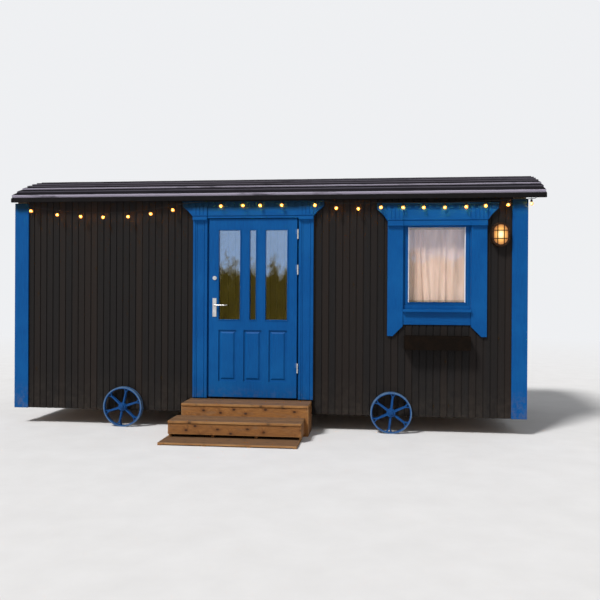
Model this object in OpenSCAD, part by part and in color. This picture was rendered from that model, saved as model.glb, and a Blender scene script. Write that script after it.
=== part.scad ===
// Garden shepherd's hut: a low wheeled cabin with an arched roof of lapped boards.
// Millimetres. +Z is up, the ground is Z = 0 and the door side faces -Y.
// The origin is on the ground, in the middle of the whole outline.

/* [Body] */
// Length over the wall cladding
body_l = 5750; // [5000:50:8000]
// Width over the wall cladding
body_w = 2200; // [2000:50:2600]
// Thickness of a wall
wall_t = 100; // [70:5:140]
// Thickness of the cladding where it hangs below the floor
skirt_t = 22; // [16:1:30]
// Height of the cladding's lower edge above the ground
skirt_z = 180; // [120:5:220]
// Height of the floor's walking surface
floor_z = 350; // [335:5:420]
// Thickness of the floor
floor_t = 30; // [20:2:50]
// Width of the blue corner boards
corner_w = 165; // [100:5:220]
// Gap between a corner board and the eave above it
corner_gap = 4; // [1:1:10]
// Thickness of the blue corner boards
corner_t = 25; // [16:1:35]

/* [Roof] */
// Height of the roof deck's upper edge at the eaves
eave_z = 2600; // [2580:10:2800]
// Height of the deck's crown above its edges
roof_rise = 325; // [200:5:450]
// Radial thickness of the roof deck
deck_t = 40; // [25:5:70]
// How far the roof deck stands out past the cladding
eave_over = 100; // [80:5:250]
// Roof overhang at the left end
over_left = 35; // [30:5:300]
// Roof overhang at the right end
over_right = 200; // [30:5:300]
// Lapped boards on each slope
board_n = 9; // [5:1:14]
// Thickness of a roof board where it laps over the next
board_lip = 32; // [24:1:45]
// Thickness of the covering at a board's upper edge
board_thin = 16; // [10:1:20]
// Width of the ridge board
ridge_w = 190; // [120:10:300]
// How far the ridge board stands above the lips of the other boards
ridge_lift = 8; // [4:1:20]
// Height of the eave fascia
fascia_h = 44; // [42:2:90]
// Thickness of the eave fascia
fascia_t = 24; // [16:1:35]

/* [Door] */
// Left end of the cladding to the left edge of the door leaf
door_x = 2285; // [1200:5:3000]
// Width of the door leaf
door_w = 996; // [800:2:1060]
// Height of the door leaf
door_h = 2000; // [1850:10:2040]
// Thickness of the door leaf
door_t = 54; // [40:2:70]
// How far the leaf's face stands out from the cladding
door_proud = 30; // [24:1:36]
// Gap round the leaf at the latch side, the top and the stops
door_gap = 7; // [6:1:10]
// Gap between the leaf and the jamb at the hinge side
hinge_gap = 18; // [14:1:24]
// Gap under the leaf
sill_gap = 6; // [5:1:12]
// Thickness of the jambs
jamb_t = 28; // [20:1:40]
// How far a stop reaches behind the leaf
stop_w = 14; // [8:1:20]
// Width of the outer stiles
stile_w = 110; // [90:2:140]
// Height of the top rail
top_rail_h = 127; // [90:1:160]
// Height of the rail between the panes and the panels
lock_rail_h = 117; // [90:1:160]
// Height of the bottom rail
bottom_rail_h = 177; // [120:1:240]
// Height of the raised panels
panel_h = 576; // [400:2:650]
// Width of one raised panel
panel_w = 204; // [150:2:220]
// Width of an outer glass pane
pane_w = 244; // [180:2:280]
// Width of the middle glass pane
mid_pane_w = 70; // [40:2:100]
// Depth of the sunk moulding round a panel
panel_sink = 14; // [8:1:18]
// Width of that sunk margin
field_in = 20; // [12:1:30]
// Width of the bevel round the raised field of a panel
field_bevel = 18; // [8:1:24]
// How far the raised field lies behind the leaf's face
field_back = 2; // [1:1:6]
// Width of the glazing bead round a pane
bead_w = 10; // [6:1:12]
// How far a glazing bead stands out from the leaf or the sash
bead_out = 6; // [3:1:8]
// Thickness of the glass
glass_t = 20; // [6:2:28]

/* [Door furniture] */
// Height of the lever's axis above the foot of the leaf
lever_h = 1030; // [900:10:1150]
// Latch edge of the leaf to the lever's axis
backset = 64; // [50:1:75]
// Length of the lever from its axis
lever_l = 118; // [90:2:140]
// Diameter of the lever's bar
lever_d = 17; // [14:1:20]
// Height of the handle plate
plate_h = 208; // [160:4:250]
// Width of the handle plate
plate_w = 44; // [30:1:50]
// Thickness of the handle plate
plate_t = 7; // [4:1:10]
// Height of the upper lock above the lever's axis
lock_h = 305; // [200:5:400]
// Diameter of the upper lock's rose
lock_d = 46; // [36:1:48]
// Diameter of a hinge knuckle
knuckle_d = 18; // [14:1:22]
// Height of one hinge
hinge_h = 108; // [80:2:140]
// Diameter of a hinge pin
pin_d = 9; // [6:1:11]
// Heights of the hinges above the foot of the leaf
hinge_zs = [280, 1376, 1772];

/* [Casings] */
// Width of the door casings
casing_w = 165; // [100:5:200]
// How far the casing at the latch side stands back from the jamb's inner face
casing_reveal = 15; // [0:1:21]
// Thickness of the casings
casing_t = 32; // [26:1:40]
// Height of the plain cap at the top of a door casing
casing_cap = 28; // [10:2:60]
// Gap between the landing and the foot of a door casing
casing_gap = 12; // [2:1:40]
// Width of the window casings
window_casing_w = 168; // [100:4:200]
// Foot of the window casings above the ground
window_casing_z = 1060; // [900:10:1200]
// Side of the cut corner at the foot of a window casing
casing_cut = 110; // [40:5:140]
// Thickness of the door head and the window head
head_t = 48; // [40:1:70]
// Top of the door head above the ground
door_head_z = 2552; // [2500:2:2570]
// Top of the window head above the ground
window_head_z = 2510; // [2450:2:2560]
// How far a head flares out past the casings
head_flare = 116; // [60:2:150]
// Height of the top fillet of a head
fillet_h = 14; // [8:1:30]
// How far the top fillet stands out
fillet_out = 24; // [8:1:27]
// Height of a dentil block
dentil_h = 44; // [20:2:60]
// Width of a dentil block
dentil_w = 38; // [20:1:60]
// Distance from one dentil block to the next
dentil_step = 75; // [60:1:110]
// How far a dentil block stands out
dentil_out = 10; // [6:1:20]
// How far the fluted block over a casing stands out from the head
console_out = 12; // [8:1:20]
// How far that block hangs down over a door casing
console_drop = 18; // [8:1:30]
// How far that block hangs down over a window casing
window_console_drop = 2; // [1:1:30]
// Height of the plain band at the foot of the door head
door_band_h = 18; // [12:1:30]
// Height of the plain band at the foot of the window head
window_band_h = 51; // [30:1:60]
// Height of the groove above that band
groove_h = 10; // [6:1:14]
// Depth of that groove
groove_depth = 8; // [4:1:10]
// Width of a flute in a block or a bead on a casing
flute_w = 9; // [6:1:12]
// Depth of a flute
flute_depth = 5; // [3:1:6]

/* [Window] */
// Right end of the cladding to the right edge of the window
window_in = 572; // [520:4:800]
// Width of the window over its sash
window_w = 731; // [500:10:900]
// Foot of the sash above the ground
window_z = 1357; // [1200:10:1500]
// Underside of the window head above the ground
window_top_z = 2268; // [2100:4:2300]
// Width of the frame and the sash's stile at each side of the glass
sash_w = 56; // [40:2:80]
// Height of the sash's top rail that shows under the head
sash_top = 12; // [11:1:40]
// Height of the sash's bottom rail
sash_foot = 30; // [20:2:60]
// Height of the frame's foot under the sash
frame_foot = 44; // [20:2:60]
// Width of the gap between the sash and its frame
sash_gap = 3; // [2:1:6]
// Depth of the sash
sash_t = 60; // [40:5:80]
// Width of the fixed frame that shows round the sash
frame_w = 16; // [8:1:24]
// How far the sash lies behind the face of its frame
sash_in = 8; // [4:1:12]
// Thickness of the sill
sill_t = 30; // [20:2:50]
// How far the sill stands out from the cladding
sill_out = 62; // [50:2:100]
// Thickness of the apron under the sill
apron_t = 20; // [12:1:28]
// Height of the apron under the sill
apron_h = 140; // [80:5:200]
// How far the window box stops short of the window at each end
box_in = 15; // [5:5:100]
// Height of the window box
box_h = 150; // [100:5:200]
// Depth of the window box
box_d = 160; // [100:5:200]
// Wall thickness of the window box
box_t = 14; // [8:1:24]
// Top of the window box above the ground
box_z = 1070; // [900:10:1150]
// Thickness of the curtain with its folds
curtain_t = 30; // [16:2:50]
// Height of the curtain's hem above the foot of the glass
curtain_lift = 36; // [10:2:80]
// How far the curtain reaches past the window at each side and above the glass
curtain_over = 40; // [10:2:60]

/* [Lamp and lights] */
// Right end of the cladding to the middle of the wall lamp
lamp_in = 270; // [265:1:290]
// Middle of the wall lamp above the ground
lamp_z = 2165; // [1900:5:2250]
// Width of the wall lamp
lamp_w = 192; // [140:4:220]
// Height of the wall lamp
lamp_h = 258; // [220:2:300]
// How far the wall lamp's ring stands out from the cladding
lamp_out = 82; // [60:2:110]
// Thickness of the lamp's solid back
lamp_back_t = 30; // [20:2:40]
// Thickness of the lamp's wall flange
lamp_flange_t = 12; // [6:1:16]
// How far the flange stands out round the ring
lamp_flange_out = 5; // [2:1:8]
// Width of the lamp's ring
lamp_ring_w = 22; // [10:1:26]
// Width of the lamp's guard bars
lamp_bar = 9; // [6:1:12]
// Distance between the lamp's upright guard bars
lamp_bars_x = 68; // [40:2:80]
// Distance between the lamp's level guard bars
lamp_bars_z = 88; // [50:2:100]
// Diameter of a bulb
bulb_d = 42; // [30:1:50]
// Length of a bulb's holder
holder_l = 32; // [24:1:40]
// Diameter of a bulb's holder
holder_d = 24; // [18:1:30]
// Diameter of the cable
cable_d = 7; // [5:1:8]
// Diameter of the neck between a holder and the cable
neck_d = 6; // [4:1:8]
// Length of that neck
neck_l = 5; // [3:1:10]
// Thickness of the hooks that carry the cable
hook_d = 5; // [3:1:6]

/* [Running gear] */
// Diameter of a wheel
wheel_d = 450; // [400:10:500]
// Width of a wheel's rim
rim_w = 66; // [40:2:80]
// Radial thickness of a wheel's rim
rim_t = 11; // [8:1:16]
// Height and depth of the lip inside the rim's outer edge
rim_lip = 8; // [5:1:12]
// Diameter of a wheel's hub
hub_d = 78; // [70:2:96]
// How far the hub stands out past the rim's outer edge
hub_out = 8; // [4:1:16]
// How far the collar that carries the spokes stands out from the hub
hub_collar = 9; // [5:1:14]
// Spokes in a wheel
spoke_n = 6; // [5:1:8]
// Width of a spoke
spoke_w = 13; // [9:1:18]
// Depth of a spoke along the axle
spoke_t = 28; // [18:2:40]
// How far a spoke's flange stands out beside its rib
spoke_flange = 5; // [3:1:8]
// Distance from the rim at which a spoke forks
fork_l = 60; // [50:1:70]
// Width of a fork at the rim
fork_w = 80; // [50:2:100]
// Width of one arm of a fork
fork_arm_w = 9; // [8:1:16]
// Gap between a wheel and the cladding
wheel_gap = 26; // [20:1:40]
// Left end of the cladding to the left axle
axle_in_left = 1300; // [900:10:1600]
// Right end of the cladding to the right axle
axle_in_right = 1425; // [900:10:1900]
// Side of the square axle beam
axle_s = 50; // [40:2:60]
// Diameter of the axle's round end
journal_d = 34; // [24:1:40]
// Gap at each end of a wheel's hub
end_play = 1; // [0.5:0.5:3]
// Diameter of the cap that keeps a wheel on its journal
cap_d = 58; // [50:1:70]
// Thickness of that cap
cap_t = 14; // [8:1:16]
// How far the grease nut stands out from that cap
nut_t = 7; // [4:1:12]
// Distance between the middles of the chassis rails
rail_gap = 1300; // [900:20:1500]
// Gap between the end of a chassis rail and the cladding
rail_in = 10; // [5:1:40]
// Width of a chassis rail
rail_w = 70; // [50:5:100]

/* [Steps] */
// Width of the landing
step_w = 1380; // [1000:10:1500]
// How far the landing's middle lies to the left of the door's middle
step_shift = 23; // [0:1:100]
// Top of the landing above the ground
landing_z = 330; // [300:5:345]
// Depth of the landing
landing_d = 375; // [300:5:500]
// Top of the lower step above the ground
lower_z = 200; // [150:5:220]
// Width of the lower step
lower_w = 1388; // [1000:2:1600]
// How far the lower step's middle lies to the left of the landing's middle
lower_shift = 46; // [0:2:100]
// Depth of the lower step in front of the landing
lower_d = 325; // [250:5:400]
// Depth of the ground board in front of the lower step
ground_d = 275; // [200:5:350]
// Width of the ground board
ground_w = 1398; // [1000:2:1600]
// How far the ground board's middle lies to the left of the landing's middle
ground_shift = 64; // [0:2:100]
// Thickness of a tread board
tread_t = 28; // [20:1:40]
// How far a tread board stands out past the riser
nosing = 10; // [0:1:25]
// Gap between two boards of one tread
board_gap = 6; // [3:1:12]
// Dark gap under the lower step's riser
toe_gap = 30; // [20:5:70]
// Thickness of the battens under the ground board
batten_t = 8; // [6:1:14]
// Width of those battens
batten_w = 40; // [30:5:60]

/* [Hidden] */
$fn = 48;
// Sides of the roof's arcs and of a wheel's rim
arc_sides = 720;
wheel_sides = 96;

// Gap between solids that seat on each other without being joined
fit = 0.3;
// Radial clearance of a shaft that turns in its bore
running = 0.08;
// Gap between the cable and the hooks and necks on it, which its slope takes up in part
hang_gap = 0.9;
// Depth by which a cutter runs past the face that it opens
past = 20;

front_reach = fit + landing_d + lower_d + ground_d;
roof_l = over_left + body_l + over_right;
left_x = over_left - roof_l / 2;
right_x = left_x + body_l;

// The roof's arc, from its edges, and how far the lowest boards reach from the middle
deck_half = body_w / 2 + eave_over;
roof_r = (deck_half * deck_half + roof_rise * roof_rise) / (2 * roof_rise);
arc_z = eave_z + roof_rise - roof_r;
eave_angle = asin(deck_half / roof_r);
roof_half = (roof_r + board_lip) * sin(eave_angle);
// Angles taken up by half of the ridge board, and by the part of one board that shows
ridge_angle = asin(ridge_w / 2 / (roof_r + board_thin));
board_angle = (eave_angle - ridge_angle) / board_n;

// The back reaches as far as the roof or the axles' nuts, and the place is rounded to a hundredth
hub_l = rim_w + hub_out;
axle_half = body_w / 2 + wheel_gap + end_play + hub_l + cap_t + nut_t;
back_reach = max(roof_half, axle_half);
front_y = round((front_reach - back_reach - body_w / 2) * 50) / 100;
back_y = front_y + body_w;
mid_y = front_y + body_w / 2;

leaf_x = left_x + door_x;
leaf_z = floor_z + sill_gap;
leaf_top = leaf_z + door_h;
leaf_front = front_y - door_proud;
leaf_back = leaf_front + door_t;
hole_left = leaf_x - door_gap - jamb_t;
hole_right = leaf_x + door_w + hinge_gap + jamb_t;
header_z = leaf_top + door_gap + jamb_t;
hinge_x = leaf_x + door_w + knuckle_d / 2;
hinge_y = leaf_front - knuckle_d / 2 + 1;
lever_x = leaf_x + backset;
lever_z = leaf_z + lever_h;

// Route of the light cable as [x, z] points: its ends turn up to the fascia
cable_route = [
    [-2800, 2552], [-2755, 2508], [-2440, 2462], [-2160, 2440], [-1895, 2430], [-1600, 2435],
    [-1335, 2464], [-1080, 2505], [-810, 2536], [-530, 2546], [-280, 2549], [-85, 2549],
    [155, 2549], [525, 2546], [760, 2512], [1000, 2502], [1245, 2516], [1485, 2512],
    [1705, 2510], [1930, 2508], [2155, 2514], [2360, 2523], [2595, 2531], [2835, 2542],
    [2885, 2552]
];
cable_steps = 3;
cable_sides = 8;
cable_y = front_y - eave_over + fascia_t / 2;
// Places on the route where a bulb hangs, and where a hook carries the cable
bulb_points = [for (i = [1:len(cable_route) - 2]) if (i != 8) cable_route[i]];
hook_points = [
    for (i = [1, 7, 14, 16, 21, 23]) if (abs(cable_route[i][0]) < roof_l / 2 - hook_d) cable_route[i]
];

sash_x = right_x - window_in - window_w;
lamp_mid_x = right_x - lamp_in;
axle_z = wheel_d / 2;
axle_left_x = left_x + axle_in_left;
axle_right_x = right_x - axle_in_right;
rail_z = axle_z + axle_s / 2;
step_mid_x = leaf_x + door_w / 2 - step_shift;
step_y = front_y - fit;

// Colours of the parts
black_paint = [0.13, 0.13, 0.14];
blue_paint = [0.06, 0.36, 0.66];
roof_grey = [0.2, 0.2, 0.22];
step_wood = [0.62, 0.42, 0.24];
bare_wood = [0.75, 0.62, 0.45];
steel_grey = [0.25, 0.26, 0.28];

// Extrudes a Y-Z outline along X
module along_x(x, l) {
    translate([x, 0, 0]) rotate([90, 0, 90]) linear_extrude(l) children();
}

// Extrudes an X-Z outline along Y
module along_y(y, l) {
    translate([0, y + l, 0]) rotate([90, 0, 0]) linear_extrude(l) children();
}

// Space under the roof deck, as a Y-Z outline
module under_deck() {
    translate([mid_y, arc_z]) circle(r = roof_r - deck_t, $fn = arc_sides);
}

// Straight wall slab between two X values, from z0 up to z1 or the roof
module wall_slab(x0, x1, z0, z1) {
    along_x(x0, x1 - x0) intersection() {
        translate([front_y, z0]) square([wall_t, z1 - z0]);
        under_deck();
    }
}

module front_wall_left() {
    color(black_paint) wall_slab(left_x, hole_left, floor_z, header_z);
}

module front_wall_middle() {
    color(black_paint) wall_slab(hole_right, sash_x, floor_z, header_z);
}

module front_wall_right() {
    color(black_paint) wall_slab(sash_x + window_w, right_x, floor_z, header_z);
}

module front_wall_under_window() {
    color(black_paint) wall_slab(sash_x, sash_x + window_w, floor_z, window_z);
}

module front_wall_header() {
    color(black_paint) wall_slab(left_x, right_x, header_z, eave_z + roof_rise);
}

// Slots up from the lower edge of the cladding where the axles pass
module axle_slots() {
    for (x = [axle_left_x, axle_right_x])
        translate([x - axle_s / 2 - 5, front_y - past, skirt_z - past])
            cube([axle_s + 10, body_w + 2 * past, rail_z + 5 - skirt_z + past]);
}

module front_skirt() {
    color(black_paint) difference() {
        translate([left_x, front_y, skirt_z]) cube([body_l, skirt_t, floor_z - skirt_z]);
        axle_slots();
    }
}

module back_wall() {
    color(black_paint) difference() {
        along_x(left_x, body_l) intersection() {
            union() {
                translate([back_y - wall_t, floor_z]) square([wall_t, eave_z]);
                translate([back_y - skirt_t, skirt_z]) square([skirt_t, floor_z]);
            }
            under_deck();
        }
        axle_slots();
    }
}

// End wall: its inner slab stands on the floor and its cladding hangs below
module end_wall(x_slab, x_skin) {
    color(black_paint) {
        along_x(x_slab, wall_t) intersection() {
            translate([front_y + wall_t, floor_z])
                square([body_w - 2 * wall_t, eave_z]);
            under_deck();
        }
        translate([x_skin, front_y + skirt_t, skirt_z])
            cube([skirt_t, body_w - 2 * skirt_t, floor_z - skirt_z]);
    }
}

module left_end_wall() {
    end_wall(left_x, left_x);
}

module right_end_wall() {
    end_wall(right_x - wall_t, right_x - skirt_t);
}

module floor_deck() {
    color(bare_wood)
        translate([left_x + skirt_t, front_y + skirt_t, floor_z - floor_t])
            cube([body_l - 2 * skirt_t, body_w - 2 * skirt_t, floor_t]);
}

// Two long rails on the axles, tied by three cross bearers
module chassis_rails() {
    rail_h = floor_z - floor_t - rail_z;
    rail_l = body_l - 2 * skirt_t - 2 * rail_in;
    color(steel_grey) translate([left_x + skirt_t + rail_in, mid_y, rail_z]) {
        for (side = [-1, 1])
            translate([0, side * rail_gap / 2 - rail_w / 2, 0]) cube([rail_l, rail_w, rail_h]);
        for (x = [0, (rail_l - rail_w) / 2, rail_l - rail_w])
            translate([x, -rail_gap / 2, 0]) cube([rail_w, rail_gap, rail_h]);
    }
}

// Square beam with a round journal and a retaining cap at each end for a wheel
module axle(x) {
    beam_l = body_w + 2 * (wheel_gap - end_play);
    journal_l = hub_l + 2 * end_play;
    color(steel_grey) translate([x, mid_y, axle_z]) {
        translate([-axle_s / 2, -beam_l / 2, -axle_s / 2]) cube([axle_s, beam_l, axle_s]);
        for (side = [0, 1]) mirror([0, side, 0]) translate([0, -beam_l / 2, 0]) rotate([90, 0, 0]) {
            cylinder(d = journal_d, h = journal_l + cap_t / 2);
            translate([0, 0, journal_l]) cylinder(d1 = cap_d, d2 = cap_d - cap_t, h = cap_t);
            translate([0, 0, journal_l]) cylinder(d = cap_d / 3, h = cap_t + nut_t);
        }
    }
}

module axle_left() {
    axle(axle_left_x);
}

module axle_right() {
    axle(axle_right_x);
}

// Arched deck with a fascia under each edge, as a Y-Z outline
module roof_deck_outline() {
    intersection() {
        difference() {
            translate([mid_y, arc_z]) circle(r = roof_r, $fn = arc_sides);
            under_deck();
        }
        translate([mid_y - deck_half, eave_z - fascia_h]) square([2 * deck_half, roof_rise + fascia_h]);
    }
    for (y = [mid_y - deck_half, mid_y + deck_half - fascia_t])
        translate([y, eave_z - fascia_h]) square([fascia_t, fascia_h]);
}

module roof_deck() {
    color(roof_grey) {
        along_x(-roof_l / 2, roof_l) roof_deck_outline();
        for (p = hook_points) translate([p[0], cable_y, p[1] + cable_d / 2 + hang_gap])
            cylinder(d = hook_d, h = eave_z - fascia_h / 2 - p[1] - cable_d / 2);
    }
}

function on_arc(r, a) = [mid_y + r * sin(a), arc_z + r * cos(a)];

// Stepped top of the lapped boards on one slope, from the eave up to the ridge board:
// each board is thick at its lower edge and thin where it runs under the next
function board_steps(side) = [
    on_arc(roof_r - board_thin, side * eave_angle),
    for (i = [board_n:-1:1], up = [0, 1])
        on_arc(roof_r + (up == 0 ? board_lip : board_thin), side * (ridge_angle + (i - up) * board_angle)),
    [mid_y + side * ridge_w / 2, arc_z + roof_r + board_lip + ridge_lift]
];

function backwards(points) = [for (i = [len(points) - 1:-1:0]) points[i]];

module roof_boards() {
    color(roof_grey) along_x(-roof_l / 2, roof_l) difference() {
        polygon(concat(board_steps(-1), backwards(board_steps(1))));
        translate([mid_y, arc_z]) circle(r = roof_r, $fn = arc_sides);
    }
}

// Blue boards that wrap each corner, from the cladding's foot to the roof
module corner_boards() {
    top = eave_z - fascia_h - corner_gap;
    color(blue_paint) for (sx = [0, 1], sy = [0, 1])
        translate([sx == 0 ? left_x : right_x, sy == 0 ? front_y : back_y, skirt_z])
            mirror([sx, 0, 0]) mirror([0, sy, 0]) linear_extrude(top - skirt_z) difference() {
                translate([-corner_t, -corner_t]) square([corner_w, corner_w]);
                square([corner_w, corner_w]);
            }
}

// Jamb with a stop behind the leaf, as an X-Y outline from its inner face
module jamb_outline(gap, reach) {
    translate([0, 0]) square([jamb_t, reach]);
    translate([jamb_t - 1, door_t - door_proud + door_gap])
        square([gap + stop_w + 1, reach - door_t + door_proud - door_gap]);
}

module door_jamb_left() {
    color(blue_paint) translate([hole_left, front_y, floor_z])
        linear_extrude(header_z - floor_z - jamb_t) jamb_outline(door_gap, wall_t);
}

module door_jamb_right() {
    color(blue_paint) translate([hole_right, front_y, floor_z]) mirror([1, 0, 0])
        linear_extrude(header_z - floor_z - jamb_t) jamb_outline(hinge_gap, wall_t);
}

module door_frame_head() {
    stop_y = door_t - door_proud + door_gap;
    color(blue_paint) {
        translate([hole_left, front_y, header_z - jamb_t])
            cube([hole_right - hole_left, wall_t, jamb_t]);
        translate([leaf_x + stop_w, front_y + stop_y, leaf_top - stop_w])
            cube([door_w - 2 * stop_w, wall_t - stop_y, door_gap + stop_w + 1]);
    }
}

// Upright casing board: its face is sunk between plain edges, with two beads in the sunk part
module casing_board(w, h) {
    edge = w / 6;
    difference() {
        translate([0, -casing_t, 0]) cube([w, casing_t, h]);
        translate([edge, -casing_t - past, -past])
            cube([w - 2 * edge, past + flute_depth, h + past - casing_cap]);
    }
    for (x = [edge + flute_w, w - edge - 2 * flute_w])
        translate([x, -casing_t, 0]) cube([flute_w, flute_depth + 1, h]);
}

// Block over a casing, with upright flutes in its face above a plain foot
module console_block(w, h, foot_h) {
    out = head_t + console_out;
    difference() {
        translate([0, -out, 0]) cube([w, out - casing_t, h]);
        for (i = [1:3])
            translate([i * w / 4 - flute_w / 2, -out - past, foot_h]) cube([flute_w, past + flute_depth, h]);
    }
}

door_casing_left_x = leaf_x - door_gap - casing_reveal - casing_w;
door_casing_right_x = leaf_x + door_w + hinge_gap;
door_head_low = leaf_top + door_gap;

module door_casings() {
    foot_z = landing_z + casing_gap;
    color(blue_paint) for (x = [door_casing_left_x, door_casing_right_x])
        translate([x, front_y, foot_z]) casing_board(casing_w, door_head_low - foot_z);
}

// Flared board of a head with its fluted blocks, dentils and top fillet, still without its groove
module head_body(x0, x1, z_low, z_top, post_w, foot_h, drop) {
    band_z = z_top - fillet_h - dentil_h;
    flare_z = z_low + foot_h;
    flare_h = band_z - flare_z;
    w = x1 - x0 + 2 * head_flare;
    n = floor((w - dentil_w) / dentil_step) + 1;
    first = x0 - head_flare + (w - (n - 1) * dentil_step - dentil_w) / 2;
    along_y(front_y - head_t, head_t) polygon([
        [x0, z_low], [x1, z_low], [x1, flare_z],
        [x1 + head_flare * 0.42, flare_z + flare_h * 0.52], [x1 + head_flare, band_z],
        [x1 + head_flare, z_top], [x0 - head_flare, z_top],
        [x0 - head_flare, band_z], [x0 - head_flare * 0.42, flare_z + flare_h * 0.52],
        [x0, flare_z]
    ]);
    for (i = [0:n - 1])
        translate([first + i * dentil_step, front_y - head_t - dentil_out, band_z])
            cube([dentil_w, dentil_out + 1, dentil_h + 1]);
    translate([x0 - head_flare, front_y - head_t - fillet_out, z_top - fillet_h])
        cube([w, fillet_out + 1, fillet_h]);
    for (x = [x0, x1 - post_w])
        translate([x, front_y, z_low - drop])
            console_block(post_w, band_z - z_low + drop, foot_h + groove_h + flute_w + drop);
}

// Head board over a doorway or window, with a groove over the plain band at its foot
module head_board(x0, x1, z_low, z_top, post_w, foot_h, drop) {
    block_out = head_t + console_out;
    // Left end, length and face of each stretch of the groove
    cuts = [
        [x0, post_w, block_out],
        [x0 + post_w, x1 - x0 - 2 * post_w, head_t],
        [x1 - post_w, post_w, block_out]
    ];
    difference() {
        head_body(x0, x1, z_low, z_top, post_w, foot_h, drop);
        for (c = cuts)
            translate([c[0], front_y - c[2] - past, z_low + foot_h])
                cube([c[1], past + groove_depth, groove_h]);
    }
}

module door_head() {
    color(blue_paint)
        head_board(
            door_casing_left_x, door_casing_right_x + casing_w, door_head_low, door_head_z,
            casing_w, door_band_h, console_drop
        );
}

knuckle_h = (hinge_h - 2) / 2;

// Lower knuckles on the jamb, each with the pin that carries the leaf
module hinge_pins() {
    color(steel_grey) for (z = hinge_zs) translate([hinge_x, hinge_y, leaf_z + z]) {
        cylinder(d = knuckle_d, h = knuckle_h);
        cylinder(d = pin_d, h = hinge_h - 6);
        translate([0, 0, 2]) linear_extrude(knuckle_h - 4)
            polygon([
                [0, 0], [knuckle_d / 2, 0],
                [knuckle_d / 2 + 1, front_y - casing_t - hinge_y], [2, knuckle_d / 2 - 4]
            ]);
    }
}

// Upper knuckles that lift off the pins, with their flags on the leaf
module hinge_knuckles() {
    color(steel_grey) for (z = hinge_zs) translate([hinge_x, hinge_y, leaf_z + z + knuckle_h + 2])
        difference() {
            union() {
                cylinder(d = knuckle_d, h = knuckle_h);
                translate([-knuckle_d / 2 - 20, knuckle_d / 2 - 4, 0])
                    cube([knuckle_d / 2 + 20, 3, knuckle_h]);
            }
            translate([0, 0, -1]) cylinder(d = pin_d + 2 * running, h = knuckle_h - 4);
        }
}

// Distance from the leaf's middle to the middle of an outer pane
pane_mid = door_w / 2 - stile_w - pane_w / 2;
// Distance from the leaf's middle to the middle of an outer panel
panel_mid = door_w / 2 - stile_w - panel_w / 2;
pane_z = bottom_rail_h + panel_h + lock_rail_h;
pane_h = door_h - top_rail_h - pane_z;

// Field with mitred bevels that stands on the plane Y = 0 and faces -Y
module raised_field(w, h, depth) {
    intersection() {
        linear_extrude(h)
            polygon([[-w / 2, 0], [w / 2, 0], [w / 2 - field_bevel, -depth], [field_bevel - w / 2, -depth]]);
        along_x(-w / 2, w) polygon([[0, 0], [0, h], [-depth, h - field_bevel], [-depth, field_bevel]]);
    }
}

// Sunk margin round one panel, with the bevelled field left standing in it
module panel_cut() {
    difference() {
        translate([-panel_w / 2, -past, 0]) cube([panel_w, past + panel_sink, panel_h]);
        translate([0, panel_sink, field_in])
            raised_field(panel_w - 2 * field_in, panel_h - 2 * field_in, panel_sink - field_back);
    }
}

// Middle and width of each pane, counted from the leaf's middle
panes = [[-pane_mid, pane_w], [0, mid_pane_w], [pane_mid, pane_w]];

module door_leaf() {
    color(blue_paint) translate([leaf_x + door_w / 2, leaf_front, leaf_z]) difference() {
        union() {
            translate([-door_w / 2, 0, 0]) cube([door_w, door_t, door_h]);
            for (p = panes)
                translate([p[0] - p[1] / 2 - bead_w, -bead_out, pane_z - bead_w])
                    cube([p[1] + 2 * bead_w, door_t + 2 * bead_out, pane_h + 2 * bead_w]);
        }
        for (p = panes)
            translate([p[0] - p[1] / 2, -past, pane_z]) cube([p[1], door_t + 2 * past, pane_h]);
        for (x = [-panel_mid, 0, panel_mid]) {
            translate([x, 0, bottom_rail_h]) panel_cut();
            translate([x, door_t, bottom_rail_h]) mirror([0, 1, 0]) panel_cut();
        }
        translate([backset - door_w / 2, -1, lever_h]) rotate([-90, 0, 0])
            cylinder(d = lever_d + 3, h = door_t + 2);
    }
}

module door_glass() {
    color([0.7, 0.78, 0.85, 0.5])
        translate([leaf_x + door_w / 2, leaf_front + (door_t - glass_t) / 2, leaf_z]) for (p = panes)
            translate([p[0] - p[1] / 2, 0, pane_z]) cube([p[1], glass_t, pane_h]);
}

// Long plates on both faces, bored for the lever, and the upper lock's roses
module handle_plates() {
    color("silver") for (face = [0, 1])
        translate([lever_x, face == 0 ? leaf_front : leaf_back, lever_z]) mirror([0, face, 0]) {
            difference() {
                translate([-plate_w / 2, -plate_t, -plate_h * 0.62]) cube([plate_w, plate_t, plate_h]);
                rotate([90, 0, 0]) translate([0, 0, -1]) cylinder(d = lever_d + 2 * running, h = plate_t + 2);
            }
            translate([0, 0, lock_h]) rotate([90, 0, 0]) {
                cylinder(d = lock_d, h = plate_t);
                cylinder(d = lock_d * 0.55, h = plate_t + 9);
            }
        }
}

// Lever handles on both faces, on one spindle
module door_lever() {
    neck = plate_t + 42;
    bar_y = neck - lever_d / 2;
    color("silver") translate([lever_x, 0, lever_z]) {
        translate([0, leaf_front - neck, 0]) rotate([-90, 0, 0])
            cylinder(d = lever_d, h = door_t + 2 * neck);
        for (y = [leaf_front - bar_y, leaf_back + bar_y]) {
            translate([0, y, 0]) rotate([0, 90, 0]) cylinder(d = lever_d, h = lever_l);
            translate([lever_l, y, 0]) sphere(d = lever_d);
        }
    }
}

glass_z = window_z + frame_foot + sash_foot;
glass_w = window_w - 2 * sash_w;
glass_h = window_top_z - sash_top - glass_z;

// Space that the sash takes up in its frame, less a margin at the sides and the foot
module sash_space(margin, depth) {
    foot_z = window_z + frame_foot + margin;
    translate([sash_x + frame_w + margin, front_y - 1, foot_z])
        cube([window_w - 2 * frame_w - 2 * margin, depth + 1, window_top_z - foot_z]);
}

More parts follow.
